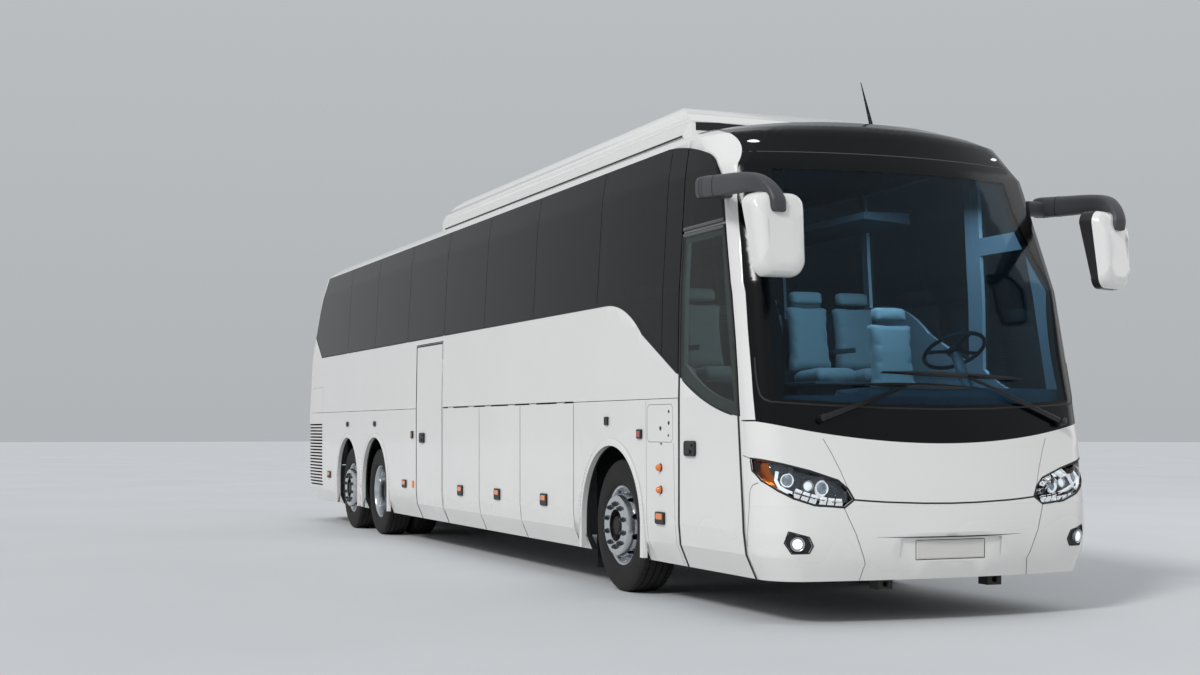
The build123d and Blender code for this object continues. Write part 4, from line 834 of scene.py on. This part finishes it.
HEAD_SECTIONS = (
    # distance from the nose, half width, half height, corner radius, how far the top reaches back
    (-0.058, 0.110, 0.175, 0.10, 0.036), (-0.056, 0.140, 0.210, 0.10, 0.036),
    (-0.046, 0.162, 0.238, 0.095, 0.036), (-0.024, 0.178, 0.257, 0.09, 0.036),
    (0.010, 0.187, 0.267, 0.085, 0.045), (0.064, 0.189, 0.270, 0.08, 0.085),
    (0.068, 0.185, 0.266, 0.078, 0.085), (0.058, 0.178, 0.259, 0.074, 0.085),
    (0.034, 0.174, 0.255, 0.072, 0.060),
)


def squircle(width, depth, count=36):
    """A softly squared ring, about its own middle."""
    ring = []
    for i in range(count):
        turn = math.tau * i / count
        a, b = [math.copysign(abs(value) ** 0.6, value) for value in (math.cos(turn), math.sin(turn))]
        ring.append((width / 2 * a, depth / 2 * b))
    return ring


def smoothed(rows, count=6):
    """Rows of numbers with smooth rows put in between them."""
    out = []
    for i in range(len(rows) - 1):
        p = [rows[max(i - 1, 0)], rows[i], rows[i + 1], rows[min(i + 2, len(rows) - 1)]]
        for k in range(count):
            t = k / count
            out.append([b + 0.5 * t * (c - a + t * (2 * a - 5 * b + 4 * c - d + t * (3 * (b - c) + d - a)))
                        for a, b, c, d in zip(*p)])
    return [*out, list(rows[-1])]


def arm_ring(way, section, grow=0.0):
    """One ring of a mirror arm."""
    x, y, z, tilt, width, depth = section
    turn = math.radians(tilt)
    up = Vector((0, -math.sin(turn), math.cos(turn)))
    return [Vector((way * x + a, NOSE + y, z)) + up * b for a, b in squircle(width + grow, depth + grow)]


def clamped(value):
    return max(0.0, min(1.0, value))


def head_ring(way, section):
    """One ring of a mirror head: narrower towards its foot, its top leaning back."""
    y, half_x, half_z, corner, back = section
    turn = HEAD_YAW[way]
    ring = []
    for a, b in rounded(half_x, half_z, corner, 8):
        lift = clamped((b - 0.04) / 0.14)
        waist = 1 - (0.20 if a > 0 else 0.06) * clamped((0.12 - b) / 0.36)
        out, aft = a * waist, y + back * lift * lift * (3 - 2 * lift)
        ring.append(Vector((way * HEAD_X + way * out * math.cos(turn) - aft * math.sin(turn),
                            NOSE + way * out * math.sin(turn) + aft * math.cos(turn), HEAD_Z + b)))
    return ring


arms, shells, rims, glasses, collars = [], [], [], [], []
for way in (-1, 1):
    arms.append(loft([arm_ring(way, section) for section in smoothed(ARM_SECTIONS)]))
    arms.append(loft([[Vector((way * x, NOSE + 0.87 + a, 2.905 + b)) for a, b in squircle(0.10, 0.11, 24)]
                      for x in FOOT_XS]))
    for at in ARM_JOINTS:
        ahead = 0.925 - at  # forwards the arm falls and thins a little
        height, depth = 2.926 - ahead * 0.079, 0.150 - ahead * 0.02
        collars.append(loft([arm_ring(way, (1.388, at + shift, height, 0, 0.095, depth), 0.0035)
                             for shift in (0.003, -0.003)]))
    head = [head_ring(way, section) for section in HEAD_SECTIONS]
    shells.append(loft(head[:RIM_FROM[way] + 1]))
    rims.append(loft(head[RIM_FROM[way]:]))
    middle = sum(head[-1], Vector()) / len(head[-1])
    glasses.append(loft([[middle + (point - middle) * 0.985 + Vector((0, shift, 0)) for point in head[-1]]
                         for shift in (-0.002, 0.003)]))
joined("mirror_arms", satin_grey, arms, nodes["mirrors"]["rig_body"], ("mirrors",))
joined("mirror_arm_joints", rubber, collars)
joined("mirror_shells", white_enamel, shells)
joined("mirror_rims", black_moulding, rims)
joined("mirror_glasses", silvered, glasses)

# Wipers
# Two pantograph arms, pivoted in the black foot of the screen, carry long blades with black
# rubber lips.
# Each section: width, how proud of the glass, how deep it is sunk (less than 0: clear of the glass)
WIPERS = (
    # pivot x, z; arm end x, z; blade ends x, z
    ((-0.873, 1.345), (-0.238, 1.568), (-0.618, 1.570), (0.302, 1.552)),
    ((1.029, 1.325), (0.225, 1.622), (-0.426, 1.652), (0.694, 1.620)),
)
PIVOT = ((-0.002, 0.0), (-0.002, 0.030), (0.030, 0.027), (0.056, 0.026), (0.063, 0.022), (0.066, 0.0))
ARM = ((0.044, 0.036, 0.030, 0.026, 0.022), (0.052, 0.056, 0.060, 0.058, 0.054), -0.034)
BLADE = ((0.010, 0.030, 0.036, 0.036, 0.030, 0.010), (0.036, 0.046, 0.050, 0.046, 0.036), -0.028)
LIP = ((0.006, 0.007, 0.006), 0.030, -0.003)
screen = surface_of("windscreen", "mask")
wiper_shapes = []
for pivot, arm_end, blade_from, blade_to in WIPERS:
    blade = [blade_from, tuple((a + b) / 2 for a, b in zip(blade_from, blade_to)), blade_to]
    for path, section in (([pivot, arm_end], ARM), (blade, BLADE), (blade, LIP)):
        wiper_shapes.append(strip(screen, "front", path, *section, step=0.03))
    wiper_shapes.append(turned(PIVOT, *front_spot(screen, *pivot), 40))
joined("wiper_arms_and_blades", black_moulding, wiper_shapes, nodes["wipers"]["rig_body"],
       ("wipers",), 40)

# Wheels
# Radial tyres on forged and polished alloy wheels: convex on the steered and tag axles, deeply
# dished on the twins, with ten hand holes and ten nuts.
made = Finish("road_tyre_rubber")
tone = made.blend(made.noise(9.0, 6.0, Roughness=0.6), "#121212", "#262422")
tyre_rubber = made.done(made.surface(tone, 0.72, Normal=made.relief(made.noise(260.0, 2.0), 0.15, 0.001),
                                     Specular_IOR_Level=0.35))
polished = mottled("polished_wheel_alloy", "#BFC3C7", "#DADDE0", 6.0, (0.12, 0.24), 240.0, 0.03, Metallic=1.0)
nut_steel = mottled("plated_nut_steel", "#4A4C4E", "#6A6C6E", 30.0, (0.3, 0.42), 200.0, 0.05, Metallic=0.9)
hub_iron = mottled("greasy_hub_iron", "#141414", "#26231F", 14.0, (0.35, 0.6), 120.0, 0.3, Metallic=0.4)
AXLES = {"front": 2.754, "drive": 10.365, "tag": 11.761}
TYRE_RADIUS = 0.522
OUTER_X, INNER_X = 1.095, 0.755  # the middle of the outer tyres and of the inner twins
# Profiles: distance outboard of the wheel's middle, radius
TYRE_HALF = (
    (0.100, 0.298), (0.121, 0.305), (0.137, 0.321), (0.1445, 0.345), (0.1478, 0.366), (0.1492, 0.372),
    (0.1485, 0.378), (0.149, 0.400), (0.1475, 0.440), (0.143, 0.475), (0.1425, 0.480), (0.137, 0.497),
    (0.130, 0.511), (0.122, 0.517), (0.095, 0.5205), (0.090, 0.521), (0.088, 0.509), (0.080, 0.509),
    (0.078, 0.5215), (0.034, 0.522), (0.032, 0.510), (0.024, 0.510), (0.022, 0.522),
)
SHOULDER, NOTCH = range(12, 16), 0.006  # the points of the half profile that are notched, how deep
HAND_HOLE = (0.114, 0.030, 0.024)  # its middle outboard, half of its width across and round the wheel
RIM_LIP = (
    (-0.105, 0.2975), (0.108, 0.2975), (0.114, 0.306), (0.118, 0.317), (0.123, 0.321), (0.128, 0.317),
    (0.1285, 0.308), (0.123, 0.298), (0.104, 0.287),
)
RIM = (
    *RIM_LIP, (0.080, 0.280), (0.068, 0.271), (0.080, 0.262), (0.125, 0.252), (0.162, 0.244),
    (0.180, 0.238), (0.187, 0.230), (0.188, 0.226), (0.188, 0.134), (0.184, 0.126), (0.162, 0.125),
    (0.162, 0.222), (0.153, 0.231), (0.118, 0.240), (0.065, 0.252), (0.045, 0.262), (0.035, 0.275),
    (0.020, 0.284), (-0.105, 0.284),
)
TWIN_RIM = (
    *RIM_LIP, (0.06, 0.277), (-0.02, 0.270), (-0.048, 0.262), (-0.058, 0.248), (-0.060, 0.232),
    (-0.056, 0.215), (-0.056, 0.138), (-0.060, 0.130), (-0.082, 0.130), (-0.082, 0.245), (-0.085, 0.262),
    (-0.105, 0.280),
)
INNER_RIM = ((-0.12, 0.2975), (0.105, 0.2975), (0.105, 0.282), (-0.12, 0.282))
HUB = ((-0.0595, 0.0), (-0.0595, 0.262), (0.015, 0.262), (0.035, 0.235), (0.10, 0.212), (0.150, 0.200),
       (0.1615, 0.190), (0.1615, 0.128), (0.128, 0.118), (0.120, 0.088), (0.150, 0.080), (0.172, 0.072),
       (0.180, 0.058), (0.180, 0.0))
TWIN_HUB = ((-0.40, 0.0), (-0.40, 0.20), (-0.084, 0.215), (-0.083, 0.128), (-0.058, 0.124), (0.030, 0.118),
            (0.036, 0.128), (0.050, 0.128), (0.056, 0.118), (0.066, 0.085), (0.068, 0.0))
NUT_FACE, TWIN_NUT_FACE, NUT_CIRCLE = 0.190, -0.054, 0.168
NUT_PARTS = (
    # steps round, radius, foot and top from the face: nut, stud, washer
    (6, 0.0165, 0.0, 0.021), (12, 0.01023, -0.00273, 0.02877), (20, 0.02145, -0.003, 0.003),
)


def around(centre, way, lift, turn, radius):
    """A place on a circle round a wheel's axle, some way outboard of its centre."""
    return centre + Vector((way * lift, radius * math.sin(turn), radius * math.cos(turn)))


def nuts(centre, way, face):
    """Ten hexagonal nuts with their studs and washers, on a circle round a hub."""
    shapes = []
    for n in range(10):
        middle = around(centre, way, face, math.tau * n / 10, NUT_CIRCLE)
        for steps, radius, foot, top in NUT_PARTS:
            turns = [math.tau * k / steps for k in range(steps)]
            shapes.append(loft([[around(middle, way, lift, turn, radius) for turn in turns]
                                for lift in (foot, top)]))
    return shapes


def tyre(way, station, middle, count=180):
    """A tyre swept round its axle, with a notch in the shoulder at every third step."""
    profile = [*TYRE_HALF, (0.0, TYRE_RADIUS), *[(-a, r) for a, r in reversed(TYRE_HALF)]]
    notched = {*SHOULDER, *[len(profile) - 1 - k for k in SHOULDER]}
    rings = []
    for i in range(count):
        turn = math.tau * i / count
        ring = []
        for k, (a, r) in enumerate(profile):
            r -= NOTCH * (k in notched and i % 3 == 0)
            ring.append(Vector((way * (middle + a), NOSE + station + r * math.cos(turn),
                                TYRE_RADIUS + r * math.sin(turn))))
        rings.append(ring)
    return loft(rings, True)


def with_hand_holes(mesh, way, centre):
    """A rim with ten oval holes cut through its convex disc, between its edge and its nut face."""
    cutters = []
    steps_round = [math.tau * k / 20 for k in range(20)]
    middle, across, along_edge = HAND_HOLE
    oval = [(middle + across * math.cos(t), along_edge * math.sin(t)) for t in steps_round]
    for n in range(10):
        turn = math.tau * (n + 0.5) / 10
        out = Vector((0, math.cos(turn), math.sin(turn)))
        round_way = Vector((0, -math.sin(turn), math.cos(turn)))
        cutters.append(loft([[centre + Vector((way * a, 0, 0)) + out * reach + round_way * b for a, b in oval]
                             for reach in (0.215, 0.292)]))
    rim, cutter = placed("rim", mesh), placed("hole_cutter", mesh_of("hole_cutter", cutters))
    cut = rim.modifiers.new("holes", "BOOLEAN")
    cut.object = cutter
    cut.solver = "EXACT"
    holed = applied(rim)
    bpy.data.objects.remove(rim)
    bpy.data.objects.remove(cutter)
    return holed


for side, way in SIDES.items():
    for axle, station in AXLES.items():
        wheel = f"{axle}_{side}"
        centre, axis = Vector((way * OUTER_X, NOSE + station, TYRE_RADIUS)), (way, 0, 0)
        ride = nodes[f"rim_{wheel}"]["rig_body"]
        twin = axle == "drive"
        joined(f"road_tyre_{wheel}", tyre_rubber,
               [tyre(way, station, middle) for middle in ((OUTER_X, INNER_X) if twin else (OUTER_X,))], ride,
               (f"tyre_{wheel}",), 32)
        rims = [turned(TWIN_RIM if twin else RIM, centre, axis, 120)]
        if twin:
            inner = centre - Vector((way * (OUTER_X - INNER_X), 0, 0))
            rims.append(turned(INNER_RIM, inner, axis))
        mesh = mesh_of("rim", rims)
        if not twin:
            mesh = with_hand_holes(mesh, way, centre)
        dress(mesh, f"alloy_wheel_{wheel}", polished, ride, (f"rim_{wheel}",), 30)
        joined(f"hub_{wheel}", hub_iron, [turned(TWIN_HUB if twin else HUB, centre, axis)], ride)
        joined(f"wheel_nuts_{wheel}", nut_steel,
               nuts(centre, way, TWIN_NUT_FACE if twin else NUT_FACE), ride)

# Chassis, axles and floors
# Painted steel rails and axles under road dust, a black plastic lining in the wheel arches,
# rubber flaps, and boarded floors and steps under speckled vinyl.
chassis_black = mottled("dusty_chassis_paint", "#17181A", "#3A3732", 4.0, (0.5, 0.75), 90.0, 0.3,
                        Metallic=0.2)
arch_lining = mottled("wheel_arch_lining", "#08090A", "#131313", 5.0, (0.6, 0.8), 60.0, 0.4)
cast_grey = mottled("cast_iron_block", "#3B3C3D", "#55524D", 5.0, (0.5, 0.7), 70.0, 0.4, Metallic=0.5)
floor_covering = mottled("speckled_floor_vinyl", "#4A4C4F", "#6A6C6E", 120.0, (0.45, 0.6), 200.0, 0.1)
for names, finish, slot_name in (
        (("chassis", "front_axle", "rear_axles", "knuckle_right", "knuckle_left"), chassis_black,
         "chassis_steel"),
        (("door_arms",), satin_grey, "chassis_steel"), (("wheel_houses",), arch_lining, "black_rubber"),
        (("mudflaps",), rubber, "black_rubber"), (("engine",), cast_grey, "cast_iron"),
        (("luggage_hold", "saloon_floor", "platform_and_steps"), floor_covering, "floor_board")):
    for name in names:
        skin(name, name + "_finish", finish)

# Dashboard, racks and steering wheel
# A soft moulded dashboard, padded parcel racks, and a thick-rimmed wheel on its column.
soft_trim = mottled("soft_grey_moulding", "#4B4E51", "#5A5D60", 4.0, (0.55, 0.7), 350.0, 0.25)
skin("dashboard", "dashboard_moulding", soft_trim)
skin("luggage_racks", "rack_mouldings", lining_grey)
tilt = math.radians(32)
column = Vector((0, math.sin(tilt), math.cos(tilt)))
wheel_centre = Vector((0.65, NOSE + 0.96, 1.85))
across_wheel, up_wheel = Vector((1, 0, 0)), column.cross(Vector((1, 0, 0)))
RING_RADIUS, GRIP_RADIUS = 0.225, 0.0155
ring_profile = [(0.015 * math.sin(math.tau * k / 14), RING_RADIUS + GRIP_RADIUS * math.cos(math.tau * k / 14))
                for k in range(14)]
HORN_PAD = ((-0.024, 0.0), (-0.024, 0.048), (-0.010, 0.058), (0.004, 0.060), (0.014, 0.050), (0.018, 0.030),
            (0.019, 0.0))
SPOKE_RISE = 0.12  # radians above level
SPOKE_WIDTHS = ((0.035, 0.060), (0.09, 0.040), (0.15, 0.034), (0.222, 0.046))  # from the middle, width
steering = [turned(ring_profile, wheel_centre, column, 64), turned(HORN_PAD, wheel_centre, column, 40)]
for turn in (SPOKE_RISE, math.pi - SPOKE_RISE, -math.pi / 2):
    out = across_wheel * math.cos(turn) + up_wheel * math.sin(turn)
    round_way = column.cross(out)
    steering.append(loft([[wheel_centre + out * reach + round_way * a + column * (b - 0.004)
                           for a, b in squircle(wide, 0.014, 16)] for reach, wide in SPOKE_WIDTHS]))
joined("driver_steering_wheel", black_moulding, steering, nodes["steering_wheel"]["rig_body"],
       ("steering_wheel",), 35)

# Seats
# Reclining coach seats in pairs: foam cushions and backs in grey moquette, padded headrests,
# on painted plinths. Each pad's shape comes from cloth filled with air and then settled.
made = Finish("grey_moquette")
pile = made.noise(420.0, 2.0)
tone = made.blend(pile, made.blend(made.noise(5.0, 3.0), "#6E7673", "#808986"), "#9AA19E")
moquette = made.done(made.surface(tone, 0.9, Normal=made.relief(pile, 0.4), Sheen_Weight=0.4,
                                  Sheen_Roughness=0.5))


def pad(name, outline, half_wide, cap=0.02):
    """A pad about x = 0: a side outline in (back, up), filled as cloth and settled."""
    bm = bmesh.new()
    rings = [[bm.verts.new((x, a, b)) for a, b in outline] for x in (-half_wide, half_wide)]
    count = len(outline)
    for k in range(count):
        bm.faces.new((rings[0][k], rings[0][(k + 1) % count], rings[1][(k + 1) % count], rings[1][k]))
    bm.faces.new(rings[0])
    bm.faces.new(rings[1])
    bmesh.ops.recalc_face_normals(bm, faces=bm.faces)
    mesh = bpy.data.meshes.new(name)
    bm.to_mesh(mesh)
    bm.free()
    thing = placed(name, mesh)
    grid = thing.modifiers.new("grid", "REMESH")
    grid.mode = "VOXEL"
    grid.voxel_size = 0.024
    thing.data = applied(thing)
    start = [v.co.copy() for v in thing.data.vertices]
    cloth = thing.modifiers.new("cloth", "CLOTH")
    cloth.settings.use_pressure = True
    cloth.settings.uniform_pressure_force = 4.0
    cloth.settings.effector_weights.gravity = 0
    for step in range(1, 21):
        bpy.context.scene.frame_set(step)
    blown = applied(thing)
    bpy.context.scene.frame_set(1)
    for vertex, before in zip(blown.vertices, start):
        move = vertex.co - before
        if move.length > cap:
            vertex.co = before + move.normalized() * cap
    thing.data = blown
    mesh = thing.data
    bpy.data.objects.remove(thing)
    return [v.co.copy() for v in mesh.vertices], [tuple(face.vertices) for face in mesh.polygons]


CUSHION = [(0.02, 0.36), (0.0, 0.40), (0.02, 0.445), (0.10, 0.455), (0.42, 0.435), (0.47, 0.40), (0.46, 0.36)]
BACK = [(0.44, 0.44), (0.425, 0.50), (0.475, 0.80), (0.515, 1.0), (0.60, 1.0), (0.605, 0.97), (0.56, 0.70),
        (0.535, 0.44)]
HEADREST = [(0.50, 1.02), (0.515, 1.10), (0.545, 1.125), (0.61, 1.115), (0.62, 1.09), (0.60, 1.02)]
PADS = {"seat_cushions": pad("cushion", CUSHION, 0.19), "seat_backs": pad("back", BACK, 0.185),
        "headrests": pad("headrest", HEADREST, 0.14, 0.012)}
SALOON_FLOOR = 1.30
SEAT_ROWS, FIRST_ROW, ROW_PITCH, SEAT_XS = 14, 2.33, 0.79, (0.49, 0.93, -0.49, -0.93)
MID_DOOR_GAP = (6.7, 8.49)  # no seats on the right between these stations
seat_places = [(0.65, 1.30, 1.10)]  # the driver's, then the passengers': x, station, floor
for row in range(SEAT_ROWS):
    station = FIRST_ROW + ROW_PITCH * row
    for x in SEAT_XS:
        if x > 0 or not MID_DOOR_GAP[0] < station < MID_DOOR_GAP[1]:
            seat_places.append((x, station, SALOON_FLOOR))
seat_body = nodes["seats"]["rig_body"]
for name, (points, faces) in PADS.items():
    copies = [([point + Vector((x, NOSE + station, floor)) for point in points], faces)
              for x, station, floor in seat_places]
    stands_for = ("seats",) if name == "seat_cushions" else ()
    cover = joined(name, moquette, copies, seat_body, stands_for, 0)
    cover.data.shade_smooth()


def brick(x0, x1, y0, y1, z0, z1, soft=0.012):
    """A block with rounded edges along its height."""
    half_x, half_y = (x1 - x0) / 2, (y1 - y0) / 2
    middle = Vector(((x0 + x1) / 2, NOSE + (y0 + y1) / 2, 0))
    return loft([[middle + Vector((a, b, z)) for a, b in rounded(half_x - inset, half_y - inset, soft, 3)]
                 for z, inset in ((z0, soft / 2), (z0 + soft / 2, 0), (z1 - soft / 2, 0), (z1, soft / 2))])


frames = []
for number, (x, station, floor) in enumerate(seat_places):
    blocks = [(x, 0.13, 0.14, 0.46, 0.001, 0.345), (x, 0.20, 0.03, 0.52, 0.335, 0.362)]  # plinth, pan
    if number:
        blocks.append((x + math.copysign(0.205, x), 0.01, 0.10, 0.47, 0.60, 0.64))  # a passenger's armrest
    for middle, half, front, back, foot, top in blocks:
        frames.append(brick(middle - half, middle + half, station + front, station + back, floor + foot,
                            floor + top))
joined("seat_frames", soft_trim, frames, seat_body)
